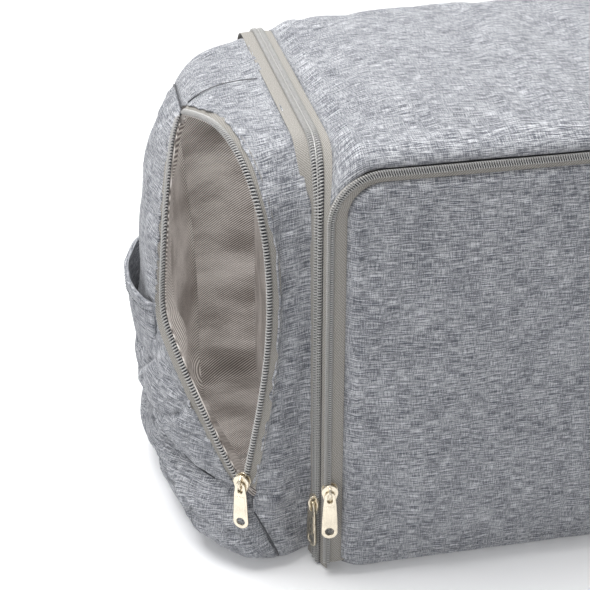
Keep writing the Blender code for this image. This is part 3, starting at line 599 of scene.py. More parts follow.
class Track:
    """Line through space with the directions out of the surface and across it at each point."""

    def __init__(self, points, outs, acrosses, step):
        points = np.array(points, float)
        length = distances(points)
        count = max(2, round(length[-1] / step) + 1)
        self.s = np.linspace(0, length[-1], count)
        self.p = between(self.s, length, points)
        self.n = between(self.s, length, np.array(outs, float))
        self.a = between(self.s, length, np.array(acrosses, float))
        self.n /= np.linalg.norm(self.n, axis=1, keepdims=True)
        self.a /= np.linalg.norm(self.a, axis=1, keepdims=True)

    def at(self, s):
        """Point, direction out and direction across at distances s along the line."""
        return [between(s, self.s, values) for values in (self.p, self.n, self.a)]


def ribbon(name, track, profile, material, rounded=True):
    """Band whose closed section is given as (across, out) pairs round it."""
    count = len(profile)
    profile = np.array(profile)
    turn = distances(profile)
    sides, lifts = profile[None, :, :1], profile[None, :, 1:]
    rows = track.p[:, None] + track.a[:, None] * sides + track.n[:, None] * lifts
    cloth = np.stack(np.broadcast_arrays(track.s[:, None], turn[None, :]), axis=-1)
    faces = tube_faces(len(track.s), count)
    obj = closed_piece(name, rows.reshape(-1, 3), faces, material, cloth.reshape(-1, 2))
    obj.data.set_sharp_from_angle(angle=math.radians(50 if rounded else 30))
    return obj


def band(low, high, thick, lift=0.0, bow=0.0):
    """Section of a flat tape from low to high across, its middle raised by bow."""
    middle = (low + high) / 2
    top = [(low, lift), (middle, lift + bow), (high, lift)]
    return top + [(a, o - thick) for a, o in reversed(top)]


def coil(track, middle, half, height, pitch, wire, lift, phase=0.0):
    """Nylon coil: a flattened helix of round wire that runs beside a line."""
    total = track.s[-1]
    turns = int(total / pitch) - 1
    per_turn, sides = 10, 5
    k = np.arange(turns * per_turn + 1)
    angle = 2 * math.pi * k / per_turn
    s = (k / per_turn + phase) * pitch + 0.2 * pitch
    p, n, a = track.at(s)
    centre = p + a * (middle + half * np.cos(angle))[:, None] + n * (lift + height * np.sin(angle))[:, None]
    ahead = np.gradient(centre, axis=0)
    ahead /= np.linalg.norm(ahead, axis=1, keepdims=True)
    side = np.cross(ahead, np.cross(n, a))
    side /= np.maximum(np.linalg.norm(side, axis=1, keepdims=True), 1e-9)
    other = np.cross(ahead, side)
    rounds = 2 * math.pi * np.arange(sides) / sides
    ring = side[:, None] * np.cos(rounds)[None, :, None] + other[:, None] * np.sin(rounds)[None, :, None]
    points = (centre[:, None] + wire * ring).reshape(-1, 3)
    return closed_piece("coil", points, tube_faces(len(k), sides), COIL)


def joined(name, objects):
    """Join pieces into one object with a slot for each material."""
    for obj in objects:
        if "cloth" not in obj.data.attributes:
            obj.data.attributes.new("cloth", "FLOAT_VECTOR", "POINT")
    work = bmesh.new()
    materials = []
    for obj in objects:
        first = len(materials)
        materials += list(obj.data.materials)
        before = len(work.faces)
        work.from_mesh(obj.data)
        work.faces.ensure_lookup_table()
        for face in work.faces[before:]:
            face.material_index += first
    mesh = bpy.data.meshes.new(name)
    work.to_mesh(mesh)
    work.free()
    for material in materials:
        mesh.materials.append(material)
    for obj in objects:
        bpy.data.objects.remove(obj, do_unlink=True)
    return add_object(name, mesh)


def stitches(track, across, lift, material=THREAD_AND_SHADE):
    """Row of separate stitches, each a short spindle lying on the cloth."""
    points, faces = [], []
    s = STITCH_GAP
    while s + STITCH_LENGTH < track.s[-1]:
        rows = []
        for share, wide in ((0, 0.35), (0.2, 1.0), (0.8, 1.0), (1, 0.35)):
            p, n, a = track.at(s + share * STITCH_LENGTH)
            sink = 0.0 if 0 < share < 1 else -STITCH_RADIUS
            middle = p + a * across + n * (lift + sink)
            turns = (0, 1.57, 3.14, 4.71)
            rows.append([middle + STITCH_RADIUS * wide * (a * math.cos(t) + n * math.sin(t)) for t in turns])
        faces += tube_faces(4, 4, len(points))
        points += [q for row in rows for q in row]
        s += STITCH_LENGTH + STITCH_GAP
    return closed_piece("stitches", points, faces, material)


def round_section(radius, sides):
    """Section of a round cord."""
    turns = [2 * math.pi * k / sides for k in range(sides)]
    return [(radius * math.cos(turn), radius * math.sin(turn)) for turn in turns]


def shade_cord_line(name, points, radius=0.0005):
    """Dark thin round cord lying in a seam's groove: painted shade of the seam."""
    return ribbon(name, Track(points, *frames_along(points), 0.002), round_section(radius, 6), THREAD_AND_SHADE)


def frames_along(points):
    """Two directions square to a line at each of its points."""
    points = np.array([tuple(p) for p in points], float)
    ahead = np.gradient(points, axis=0)
    ahead /= np.linalg.norm(ahead, axis=1, keepdims=True)
    outs = []
    guide = np.array((0.3, -0.5, 0.8))
    for d in ahead:
        guide = guide - d * guide.dot(d)
        guide /= np.linalg.norm(guide)
        outs.append(guide)
    outs = np.array(outs)
    return outs, np.cross(ahead, outs)


# Ends of the bag -------------------------------------------------------------------------------


class Ring:
    """One upright section of the left end, at a depth out from the main zip."""

    def __init__(self, depth):
        part = min(depth / END_DEPTH, 0.9999)
        across = (1 - part ** PLAN_POWER) ** (1 / PLAN_POWER)
        up = (1 - part ** TOP_POWER) ** (1 / TOP_POWER)
        down = (1 - part ** BASE_POWER) ** (1 / BASE_POWER)
        half = (SKIN_BACK_Y - FRONT_Y) / 2 * across
        middle = (SKIN_BACK_Y + FRONT_Y) / 2 + END_MIDDLE_Y * part
        self.x = END_X + depth
        self.y0 = middle - half
        self.y1 = middle + half
        self.z0 = END_MIDDLE_Z * (1 - down)
        self.z1 = END_MIDDLE_Z + (SKIN_TOP_Z - END_MIDDLE_Z) * up
        self.radius = min(END_RADIUS + END_RADIUS_GROWTH * part, 0.9 * half, 0.45 * (self.z1 - self.z0))
        self.foot = END_FOOT_RADIUS * self.radius
        self.front = self.z1 - self.z0 - self.radius - self.foot
        self.top = self.y1 - self.y0 - 2 * self.radius
        self.bend = math.pi / 2 * self.radius
        self.toe = math.pi / 2 * self.foot
        self.base = self.y1 - self.y0 - 2 * self.foot
        self.around = 2 * self.front + self.top + 2 * self.bend + self.base + 2 * self.toe

    def point(self, y, z):
        """Point of the section on the left end, its front sagging forward towards the base."""
        part = min((self.x - END_X) / END_SAG_DEPTH, 1.0)
        sag = part * (2 - part) * END_SAG * (1 - z / SKIN_TOP_Z) / (SKIN_BACK_Y - FRONT_Y)
        return Vector((-self.x, y - sag * (SKIN_BACK_Y - y), z))

    def at(self, s):
        """Point a distance s round the section, from the low end of its front up and over."""
        s = s % self.around
        r, f = self.radius, self.foot
        runs = (
            (self.front, (self.y0, self.z0 + f), (0, 1), 0, 0),
            (self.bend, (self.y0 + r, self.z1 - r), None, r, 180),
            (self.top, (self.y0 + r, self.z1), (1, 0), 0, 0),
            (self.bend, (self.y1 - r, self.z1 - r), None, r, 90),
            (self.front, (self.y1, self.z1 - r), (0, -1), 0, 0),
            (self.toe, (self.y1 - f, self.z0 + f), None, f, 0),
            (self.base, (self.y1 - f, self.z0), (-1, 0), 0, 0),
            (self.toe, (self.y0 + f, self.z0 + f), None, f, -90),
        )
        for length, start, way, bend, begin in runs:
            if s <= length:
                break
            s -= length
        if way:
            return self.point(start[0] + way[0] * s, start[1] + way[1] * s)
        angle = math.radians(begin) - s / bend
        return self.point(start[0] + bend * math.cos(angle), start[1] + bend * math.sin(angle))

    def reach(self, t):
        """Distance round the section for t: 0 to 1 along the mouth, 1 to 2 the rest of the way."""
        begin = max(MOUTH_START_Z - self.z0 - self.foot, 0.0)
        end = self.front + self.bend + min(max(MOUTH_END_Y - self.y0 - self.radius, 0.0), self.top)
        if t <= 1:
            return begin + (end - begin) * t
        return end + (self.around - end + begin) * (t - 1)

    def along(self, t):
        """Point of the section at t."""
        return self.at(self.reach(t))


def close_hub(points, faces, count):
    """Close a dome's last ring of points with a fan round its middle, which is returned."""
    hub = sum((Vector(p) for p in points[-count:]), Vector()) / count
    first = len(points) - count
    faces += [(first + j, first + (j + 1) % count, len(points)) for j in range(count)]
    points.append(hub)
    return hub


def lip_depth(t, bow):
    """Depth of one lip of the bottle pocket's mouth, or of the seam that runs on from its ends."""
    if 0 <= t <= 1:
        power = MOUTH_INNER_POWER if bow < 0 else MOUTH_OUTER_POWER
        return MOUTH_DEPTH + MOUTH_DRIFT * t + bow * math.sin(math.pi * t) ** power
    if t < 0:
        t += 2
    back = MOUTH_DEPTH + MOUTH_DRIFT * (1 - smooth((t - 1) / 0.5))
    return back - 0.020 * smooth((t - 1.60) / 0.25) * (1 - smooth((t - 1.90) / 0.10))


def step_along(t, depth, width):
    """Depth of the skin a given distance in or out from the main zip, at the same t."""
    start = Ring(depth).along(t)
    low, high = (0.0, depth) if width < 0 else (depth, END_DEPTH * 0.9999)
    for _ in range(24):
        middle = (low + high) / 2
        far = (Ring(middle).along(t) - start).length > abs(width)
        if far == (width < 0):
            low = middle
        else:
            high = middle
    return (low + high) / 2


def mouth_gap(t):
    """Width of the zip tape that the cloth's edge leaves bare, closing just past the mouth's ends."""
    return 0.0062 * min(smooth((t + 0.030) / 0.010), smooth((1.018 - t) / 0.010))


# Columns of the ends' cloth by t, which runs 0 to 1 along the mouth and 1 to 2 round the rest
MOUTH_COLUMNS = [-0.032 + 1.052 * k / 84 for k in range(85)]
REST_COLUMNS = [1.020 + 0.948 * k / 150 for k in range(1, 150)]
COLUMNS = MOUTH_COLUMNS + REST_COLUMNS
REFERENCE = Ring(0.030)
BASE_MIDDLE = 2 * REFERENCE.front + REFERENCE.top + 2 * REFERENCE.bend + REFERENCE.toe + REFERENCE.base / 2


def column_length(t):
    """Distance round the end in metres, for the cloth's coordinates, starting below the base."""
    s = REFERENCE.reach(t)
    return s - REFERENCE.around if s > BASE_MIDDLE else s


def strip_start(t):
    """Depth at which the end's cloth begins, beside the main zip's tape."""
    ring = Ring(0.0)
    s = ring.reach(t) % ring.around
    back = ring.front + 2 * ring.bend + ring.top
    over_top = smooth((s - ring.front + 0.01) / 0.03) * (1 - smooth((s - back + 0.020) / 0.03))
    return 0.0004 + 0.0052 * over_top


def edge_lift(distance, height, reach):
    """Rise of the cloth's folded edge where it lies on a tape."""
    return height * (1 - smooth(distance / reach))


def end_gusset():
    """Cloth of the left end between the main zip and the bottle pocket's zip."""
    rows = 18
    points, cloth = [], []
    for i in range(rows + 1):
        share = 0.5 - 0.5 * math.cos(math.pi * i / rows)
        for t in COLUMNS:
            low = strip_start(t)
            lip = lip_depth(t, -MOUTH_INNER_BOW)
            high = step_along(t, lip, -mouth_gap(t)) if mouth_gap(t) > 0 else lip
            depth = low + (high - low) * share
            points.append(Ring(depth).along(t))
            cloth.append((depth, column_length(t)))
    faces = grid_faces(rows + 1, len(COLUMNS), closed=True)
    obj = mesh_piece("end_gusset_left_cloth", points, faces, CLOTH, cloth)
    face_out(obj, LEFT_HEART)
    weight = {}
    for i in range(rows + 1):
        for j, t in enumerate(COLUMNS):
            weight[i * len(COLUMNS) + j] = (i / rows, t)
    return obj, weight


def soft_hold(edge, free):
    """Weight that pins a sheet at its edges and lets its middle buckle."""
    return free + (1 - free) * (1 - smooth(edge / 0.16))


def spot_key(place):
    """Rounded place of a point in the model's frame, by which it is found again."""
    return tuple(np.round(np.array(place, np.float32), 6))


def gusset_rise(share, t):
    """Rise of the gusset's cloth over its ribbon, from the main zip (share 0) to the lip (share 1)."""
    length = column_length(t)
    from_zip = share * 0.032
    from_lip = (1 - share) * 0.032
    # Edges folded over the tapes, or sunk in the seam past the mouth's ends
    rise = edge_lift(from_zip, 0.0024, 0.010)
    rise += edge_lift(from_lip, 0.0031, 0.010) if 0 <= t <= 1 else -edge_lift(from_lip, 0.0012, 0.004)
    # Gathers beside the main zip, broad waves, and the groove of the shoulder seam
    rise += 0.0020 * math.exp(-from_zip / 0.008) * ripple(length * 150, share * 3)
    rise += 0.0013 * ripple(length * 38, share * 4, 7.0) * smooth(from_lip / 0.008)
    shoulder = abs(length - column_length(1.012))
    return rise - edge_lift(shoulder, 0.0014, 0.004) * smooth(from_zip / 0.004)


def raise_points(obj, rises):
    """Move a sheet's points out along its normals, less and less towards the floor."""
    normals = np.array([v.normal for v in obj.data.vertices])
    places = coordinates(obj)
    for i, rise in rises.items():
        places[i] = places[i] + normals[i] * rise * smooth(float(places[i][2]) / 0.012)
    place_points(obj, places)
    return obj


def build_end_cloth():
    """Cloth panels of both ends: gusset strip, domed face, and dark cords of painted shade in their seams.
    """
    gusset, weight = end_gusset()
    places = coordinates(gusset)
    hold = {spot_key(places[i]): soft_hold(min(v[0], 1 - v[0]), 0.02) for i, v in weight.items()}

    def held(place):
        return 1.0 if place.z < 0.003 else hold.get(spot_key(place + SHIFT), 1.0)

    crumple(gusset, 0.022, held, 0.0035, pressure=0.8)
    raise_points(gusset, {i: gusset_rise(share, t) for i, (share, t) in weight.items()})
    both(thicken(gusset, END_CLOTH_THICK, 1), "carcass", "end_gusset_left", "end_back_left", "end_boot_left")

    face = thicken(end_face(), END_CLOTH_THICK)
    skin = BVHTree.FromObject(face, bpy.context.evaluated_depsgraph_get())
    build_end_seams(skin)
    both(face, "carcass", "end_face_left")


# Creases of the domed face: their y and z, direction and reach
CREASES = (
    (-0.055, 0.088, math.radians(150), 0.022),
    (-0.030, 0.074, math.radians(165), 0.020),
    (-0.070, 0.110, math.radians(120), 0.024),
    (-0.010, 0.096, math.radians(140), 0.026),
    (0.020, 0.078, math.radians(175), 0.022),
    (-0.060, 0.036, math.radians(60), 0.014),
    (-0.020, 0.030, math.radians(85), 0.014),
)


def face_rise(place, distance, t):
    """Rise of the domed face at a place in the model's frame, a distance from the mouth's lip."""
    y, z = float(place[1]), float(place[2])
    height = z - BOOT_Z
    # Edge folded over the tape, or sunk in the seam past the mouth's ends
    lift = 0.0019 + 0.0036 * math.sin(math.pi * t) if 0 <= t <= 1 else -0.0012
    rise = lift * (1 - smooth(distance / (0.016 if lift > 0 else 0.004)))
    # Swell above the boot's seam and in the boot, which leaves room for the bottle zip's pull
    rise += 0.0064 * hump(height - 0.034, 0.026) * smooth(distance / 0.020)
    clear = smooth((abs(y - JOINTS["bottle_pull_swing_left"]["pos_m"][1]) - 0.007) / 0.022)
    boot = hump(height + 0.034, 0.020)
    rise += (0.0062 + 0.0018 * clear) * boot * smooth(distance / 0.020)
    # Groove of the boot's seam, and the ledge under it
    rise -= 0.0036 * hump(height, 0.0030)
    ledge = smooth((0.001 - height) / 0.005) * math.exp(min(height, 0) / 0.020)
    rise += 0.0050 * clear * ledge * smooth(distance / 0.012)
    for crease_y, crease_z, way, reach in CREASES:
        dy, dz = y - crease_y, z - crease_z
        along = dy * math.cos(way) + dz * math.sin(way)
        off = dz * math.cos(way) - dy * math.sin(way) + 0.002 * ripple(along * 30, crease_y * 90)
        ridge = 0.0022 * hump(off - 0.005, 0.004)
        rise += hump(along, reach) * (ridge - 0.0026 * hump(off, 0.0026))
    return rise + 0.0014 * ripple(y * 40, z * 26, 3.0)


def end_face():
    """Domed cloth of the left end outside the bottle pocket's zip, with the boot seam low on it."""
    rows = 54
    points, cloth, marks = [], [], []
    for i in range(rows + 1):
        for t in COLUMNS:
            lip = lip_depth(t, MOUTH_OUTER_BOW)
            low = step_along(t, lip, mouth_gap(t)) if mouth_gap(t) > 0 else lip
            start = math.asin(min(low / END_DEPTH, 0.9995))
            angle = start + (math.radians(89.2) - start) * (i / rows) ** 0.9
            depth = END_DEPTH * math.sin(angle)
            place = Ring(depth).along(t)
            points.append(place)
            cloth.append((place.y, place.z))
            marks.append(((place - Ring(low).along(t)).length, t))
    count = len(COLUMNS)
    faces = grid_faces(rows + 1, count, closed=True)
    hub = close_hub(points, faces, count)
    for j in range(count):
        length = (points[rows * count + j] - hub).length
        way = math.atan2(points[j].z - hub.z, points[j].y - hub.y)
        for i in range(rows, -1, -1):
            if i < rows:
                length += (points[i * count + j] - points[(i + 1) * count + j]).length
            cloth[i * count + j] = (length * math.cos(way), length * math.sin(way))
    cloth.append((0.0, 0.0))
    marks.append((0.05, 0.5))
    obj = mesh_piece("end_face_left_cloth", points, faces, CLOTH, cloth)
    face_out(obj, LEFT_HEART)
    lookup = {spot_key(p): distance for p, (distance, _) in zip(coordinates(obj), marks)}

    def held(place):
        if place.z < 0.004 or abs(place.z - BOOT_Z) < 0.003:
            return 1.0
        return soft_hold(lookup.get(spot_key(place + SHIFT), 0.0) / 0.05, 0.03)

    crumple(obj, 0.030, held, 0.005, pressure=0.8)
    places = coordinates(obj)
    return raise_points(obj, {i: face_rise(places[i], *mark) for i, mark in enumerate(marks)})


def build_end_seams(skin):
    """Dark cords in the seams of both ends: painted shade in the seam grooves."""
    boot = []
    for k in range(70):
        y = -0.092 + 0.180 * k / 69
        hit = skin.ray_cast(Vector((-0.4, y, BOOT_Z + 0.0006)) + SHIFT, Vector((1, 0, 0)))[0]
        if hit is not None:
            boot.append(hit - SHIFT)
    rim_seam = []
    for k in range(120):
        t = 1.018 + 0.950 * k / 119
        place = Ring(lip_depth(t, 0)).along(t)
        place.z = max(place.z, 0.0012)
        rim_seam.append(place)
    shoulder = []
    for k in range(16):
        depth = 0.004 + (lip_depth(1.0, 0) - 0.008) * k / 15
        shoulder.append(Ring(depth).along(1.012) + Vector((0, 0, 0.0003)))
    # Dark cords along the boot, rim and shoulder seams: painted shade in their grooves.
    lines = [shade_cord_line("boot", boot, 0.0007), shade_cord_line("rim", rim_seam)]
    lines.append(shade_cord_line("shoulder", shoulder, 0.0004))
    both(joined("end_seams_left", lines), "carcass")


# Zips ------------------------------------------------------------------------------------------


def lip_track(bow, direction):
    """Line along one lip of the left bottle pocket's mouth, across pointing away from the mouth."""
    points, outs, acrosses = [], [], []
    for k in range(121):
        t = k / 120
        depth = lip_depth(t, bow)
        place = Ring(depth).along(t)
        across = (Ring(depth + 0.0006 * direction).along(t) - place).normalized()
        ahead = Ring(depth).along(min(t + 0.01, 1)) - Ring(depth).along(max(t - 0.01, 0))
        out = across.cross(ahead).normalized() * (-direction)
        if out.dot(place - LEFT_HEART) < 0:
            out = -out
        if direction > 0:
            tilt = LIP_TILT * math.sin(math.pi * t)
            across, out = (across * math.cos(tilt) + out * math.sin(tilt),
                           out * math.cos(tilt) - across * math.sin(tilt))
        points.append(place)
        outs.append(out)
        acrosses.append(across)
    return Track(points, outs, acrosses, ZIP_STEP)


def zip_half(name, track, tape, chain, shade_bed=None, cord=None):
    """Half of a zip: its tape, its coil, a dark strip under that as painted shade between the coil's loops,
    and a cord, each from its section.
    """
    parts = [ribbon("tape", track, tape, TAPE), coil(track, *chain)]
    if shade_bed:
        # Dark strip under the coil: painted shade between its loops.
        parts.append(ribbon("shade_bed", track, shade_bed, THREAD_AND_SHADE))
    if cord:
        parts.append(ribbon("cord", track, cord, COIL))
    return joined(name, parts)


def build_bottle_zips():
    """Tapes and coils of the bottle pockets' zips."""
    tape = band(-0.0004, 0.0078, TAPE_THICK, 0.0012, 0.0002)
    chain = (0.0008, 0.0017, 0.0010, 0.0019, 0.00048, 0.0020)
    # Section of the dark strip under the coil, painted shade between its loops.
    shade_bed = band(-0.0006, 0.0024, 0.0006, 0.0016)
    for part, bow, direction in (("inner", -MOUTH_INNER_BOW, -1), ("outer", MOUTH_OUTER_BOW, 1)):
        node = "bottle_zip_" + part + "_left"
        both(zip_half(node + "_tape", lip_track(bow, direction), tape, chain, shade_bed), "carcass", node)


def main_line():
    """The main zip's line on the left, from its foot in front to the middle of the back."""
    front = Vector((0, ZIP_FRONT_Y + ZIP_RADIUS, TOP_Z - ZIP_RADIUS))
    back = Vector((0, BACK_Y - BACK_RADIUS, TOP_Z - BACK_RADIUS))
    points, outs, acrosses = [], [], []

    def add(place, out, turned):
        place.x = -(ZIP_TOP_X + (ZIP_FRONT_X - ZIP_TOP_X) * turned)
        twist = ZIP_TURN * turned
        points.append(place)
        outs.append(out * math.cos(twist) + LEFTWARD * math.sin(twist))
        acrosses.append(LEFTWARD * math.cos(twist) - out * math.sin(twist))

    for k in range(40):
        z = ZIP_FOOT_Z + (front.z - ZIP_FOOT_Z) * k / 40
        add(Vector((0, ZIP_FRONT_Y, z)), FORWARD, 1)
    for k in range(25):
        out = deep_way(180 - 90 * k / 24)
        add(front + out * ZIP_RADIUS, out, smooth(1 - k / 24))
    for k in range(1, 30):
        add(Vector((0, front.y + (back.y - front.y) * k / 30, TOP_Z)), UPWARD, 0)
    for k in range(19):
        out = deep_way(90 - 90 * k / 18)
        place = back + out * BACK_RADIUS
        if place.z > BACK_ZIP_Z + ZIP_CORNER:
            add(place, out, 0)
    heart = Vector((-(ZIP_TOP_X - ZIP_CORNER), BACK_Y, BACK_ZIP_Z + ZIP_CORNER))
    for k in range(1, 13):
        way = level_way(180 + 90 * k / 12)
        points.append(heart + way * ZIP_CORNER)
        acrosses.append(way)
    for k in range(1, 16):
        points.append(Vector((heart.x * (1 - k / 15), BACK_Y, BACK_ZIP_Z)))
        acrosses.append(-UPWARD)
    outs += [REARWARD] * (len(points) - len(outs))
    return points, outs, acrosses


def build_main_zip():
    """Both halves of the main zip all the way round, closed along its middle."""
    lines = [left + [v * MIRROR for v in reversed(left)][1:] for left in main_line()]
    track = Track(*lines, ZIP_STEP)
    halves = (
        ("main_zip_body", 1, 0.0112, ("main_zip_body_left", "main_zip_body_right", "main_zip_body_back")),
        ("main_zip_lid", -1, 0.0100, ("main_zip_front_left", "main_zip_front_right", "main_zip_top_left",
                                      "main_zip_top_right", "main_zip_top_back")),
    )
    cord = [(0.0004 * math.cos(k), 0.0016 + 0.0004 * math.sin(k)) for k in range(6)]
    for name, side, width, nodes in halves:
        tape = [(side * a, o) for a, o in band(0.0004, width, TAPE_THICK, 0.0, 0.0004)]
        chain = (side * 0.0019, 0.0015, 0.0011, 0.0018, 0.00045, 0.0013, 0.5 * (side > 0))
        # Section of the dark strip under the coil, painted shade between its loops.
        shade_bed = [(side * a, o) for a, o in band(0.0002, 0.0034, 0.0004, 0.0006)]
        half = zip_half(name + "_tape", track, tape, chain, shade_bed, cord if side > 0 else None)
        if side > 0:
            give(half, "carcass", *nodes)
        else:
            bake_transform(half)
            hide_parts(*nodes)


def pocket_line(offset, y):
    """The front pocket's outline at an offset from its panel, with directions out of it."""
    points, acrosses = [], []
    half = POCKET_HALF_X + offset
    radius = POCKET_RADIUS + offset
    top = POCKET_TOP_Z + offset
    for k in range(40):
        points.append(Vector((-half, y, POCKET_FOOT_Z + (top - radius - POCKET_FOOT_Z) * k / 40)))
        acrosses.append(LEFTWARD)
    for k in range(25):
        way = level_way(180 - 90 * k / 24)
        points.append(Vector((-half + radius, y, top - radius)) + way * radius)
        acrosses.append(way)
    for k in range(1, 20):
        points.append(Vector(((-half + radius) * (1 - k / 20), y, top)))
        acrosses.append(UPWARD)
    points += [v * MIRROR for v in reversed(points)]
    acrosses += [v * MIRROR for v in reversed(acrosses)]
    return Track(points, [FORWARD] * len(points), acrosses, ZIP_STEP)


def build_pocket_zip():
    """Zip of the front pocket: one half on its panel, the other on the lid."""
    track = pocket_line(POCKET_CHAIN, POCKET_TAPE_Y)
    tape = band(-0.0115, -0.0003, TAPE_THICK, 0.0006, 0.0006)
    chain = (-0.0010, 0.0009, 0.0009, 0.0014, 0.00038, 0.0016)
    # Section of the dark strip under the coil, painted shade between its loops.
    shade_bed = band(-0.0020, -0.0001, 0.0004, 0.0012)
    panel_half = zip_half("pocket_zip_panel_tape", track, tape, chain, shade_bed)
    give(panel_half, "pocket_flap", "pocket_zip_tape", "pocket_zip_coil")
    tape = [(0.0003, 0.0006), (0.0012, 0.0002), (0.0004, -0.0034), (-0.0014, -0.0060)]
    tape += [(-0.0019, -0.0058), (-0.0002, -0.0034), (0.0004, 0.0), (-0.0001, 0.0002)]
    chain = (0.0010, 0.0009, 0.0009, 0.0014, 0.00038, 0.0014, 0.5)
    lid_half = zip_half("pocket_zip_lid_tape", track, tape, chain)
    give(lid_half, "front_lid", "pocket_zip_wall")
    line = pocket_line(0.0066, -0.1248)
    line.n, line.a = line.a, np.tile(REARWARD, (len(line.s), 1))
    gusset = ribbon("pocket_gusset_cloth", line, band(0.0, 0.0170, 0.0010, 0.0, 0.0003), CLOTH)
    give(gusset, "front_lid", "pocket_gusset")


# Front, top, back and base ---------------------------------------------------------------------


def build_front_panel():
    """Padded panel of the front pocket, its cloth tucked in along the zip."""
    top = POCKET_TOP_Z + 0.0042

    def spot(u, v):
        u, v = 2 * u - 1, 0.5 - 0.5 * math.cos(math.pi * v)
        z = LID_BOTTOM_Z + (top - LID_BOTTOM_Z) * v
        over = max(z - (top - POCKET_RADIUS), 0.0)
        wide = POCKET_HALF_X - POCKET_RADIUS + math.sqrt(max(POCKET_RADIUS ** 2 - over ** 2, 0.0))
        x = wide * (0.65 * u + 0.35 * math.sin(math.pi / 2 * u))
        side = min(wide - abs(x), top - z)
        side = min(side, z - LID_BOTTOM_Z + 0.009)
        full = 1 - (1 - min(side / 0.007, 1.0)) ** 2
        # Padding with faint waves, and puckers along the edge
        puff = 0.0035 * smooth(side / 0.060) + 0.0008 * ripple(x * 30, z * 30) * smooth(side / 0.010)
        puff += 0.0006 * math.exp(-side / 0.009) * ripple(x * 160, z * 160) * smooth(side / 0.002)
        y = POCKET_TAPE_Y - 0.0012 - (POCKET_TAPE_Y - POCKET_FRONT_Y - 0.0012) * full - puff
        return (x, y, z), (x, z)

    obj = face_out(grid_piece("front_pocket_cloth", 90, 84, spot, CLOTH))

    def held(place):
        side = min(POCKET_HALF_X - abs(place.x), POCKET_TOP_Z - place.z, place.z - LID_BOTTOM_Z)
        return soft_hold(side / 0.05, 0.06)

    crumple(obj, 0.008, held, 0.003, pressure=0.3)
    thicken(obj, PADDED_THICK, lining=LINING)
    give(obj, "pocket_flap", "front_pocket_panel")


def pocket_edge_z(x):
    """Height of the top panel's edge just outside the front pocket's zip."""
    offset = POCKET_CHAIN + 0.0022
    radius = POCKET_RADIUS + offset
    over = max(abs(x) - (POCKET_HALF_X - POCKET_RADIUS), 0.0)
    return POCKET_TOP_Z + offset - radius + math.sqrt(max(radius ** 2 - over ** 2, 0.0))


def zip_inner_edge():
    """Inner edge of the main zip's tape beside the top panel, as place(u, v) on either side of it."""
    line, _, across = main_line()
    edge = [p - a * 0.0086 + Vector((0, 0, 0.0006)) for p, a in zip(line, across)]
    first = next(k for k, p in enumerate(edge) if p.z > 0.250)
    last = max(k for k, p in enumerate(edge) if p.x < -0.1375)
    edge = np.array([tuple(p) for p in edge[first:last + 1]])
    length = distances(edge)

    def place(u, v):
        spot = Vector(between(v * length[-1], length, edge))
        return Vector((math.copysign(spot.x, u), spot.y, spot.z))

    return place


def build_top_panel():
    """Padded top of the lid, from the pocket's zip over the front fold and down to the back zip."""
    crown = 0.0085
    front_y = POCKET_TAPE_Y + 0.0014
    bend = 0.017
    back_turn = math.acos(max((BACK_ZIP_Z + 0.0075 - TOP_Z + BACK_RADIUS) / BACK_RADIUS, -1))
    arc_front = 1.2 * bend
    flat = BACK_Y - BACK_RADIUS - front_y - bend
    total = arc_front + flat + BACK_RADIUS * back_turn
    zip_edge = zip_inner_edge()

    def spot(u, v):
        u = 2 * u - 1
        x = PANEL_HALF_X * (0.7 * u + 0.3 * math.sin(math.pi / 2 * u))
        s = total * v
        if s < arc_front:
            angle = math.pi / 2 * s / arc_front
            rise = TOP_Z - pocket_edge_z(x)
            y = front_y + bend * (1 - math.cos(angle))
            z = pocket_edge_z(x) + rise * math.sin(angle)
            out = Vector((0, -math.cos(angle), math.sin(angle)))
        elif s < arc_front + flat:
            y, z = front_y + bend + s - arc_front, TOP_Z
            out = UPWARD
        else:
            angle = (s - arc_front - flat) / BACK_RADIUS
            y = BACK_Y - BACK_RADIUS + BACK_RADIUS * math.sin(angle)
            z = TOP_Z - BACK_RADIUS + BACK_RADIUS * math.cos(angle)
            out = Vector((0, math.sin(angle), math.cos(angle)))
        side = PANEL_HALF_X - abs(x)
        # Crown of the padding, its full edge, puckers beside the zip, and faint waves
        puff = crown * (1 - (abs(x) / PANEL_HALF_X) ** 4) * math.sin(math.pi * min(v * 1.02, 1.0)) ** 0.6
        puff += 0.0030 * smooth(side / 0.010) * smooth(s / 0.012) * smooth((total - s) / 0.012)
        puff += 0.0016 * math.exp(-side / 0.016) * ripple(s * 60, x * 20) * smooth(side / 0.004)
        puff += 0.0008 * ripple(x * 24, s * 24, 5.0)
        # The very edge turns down, and meets the zip's tape on both sides
        edge = min(side, s + 0.002, total - s)
        puff += 0.0012 * (1 - math.exp(-edge / 0.002))
        place = Vector((x, y, z)) + out * puff
        if side < 0.011:
            place = place.lerp(zip_edge(u, v), (1 - side / 0.011) ** 2)
        return place, (x, s)

    obj = face_out(grid_piece("top_cloth", 80, 110, spot, CLOTH))

    def held(place):
        side = min(PANEL_HALF_X - abs(place.x), place.y - front_y, BACK_Y - place.y + 0.002)
        return soft_hold(side / 0.06, 0.06)

    crumple(obj, 0.010, held, 0.003, pressure=0.3)
    thicken(obj, 0.0045, lining=LINING)
    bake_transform(obj)
    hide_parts("top_panel")


def sheet_piece(name, columns, rows, corner, wide, tall, material, wave, thickness):
    """Flat sheet from a corner along two directions, pushed out of its plane by wave(u, v)."""
    corner, wide, tall = Vector(corner), Vector(wide), Vector(tall)
    out = wide.cross(tall).normalized()

    def spot(u, v):
        return corner + wide * u + tall * v + out * wave(u, v), (wide.length * u, tall.length * v)

    return thicken(grid_piece(name, columns, rows, spot, material), thickness)


def rim(u, v, wide, tall):
    """Distance in metres from the nearest edge of a sheet."""
    return min(u * wide, (1 - u) * wide, v * tall, (1 - v) * tall)


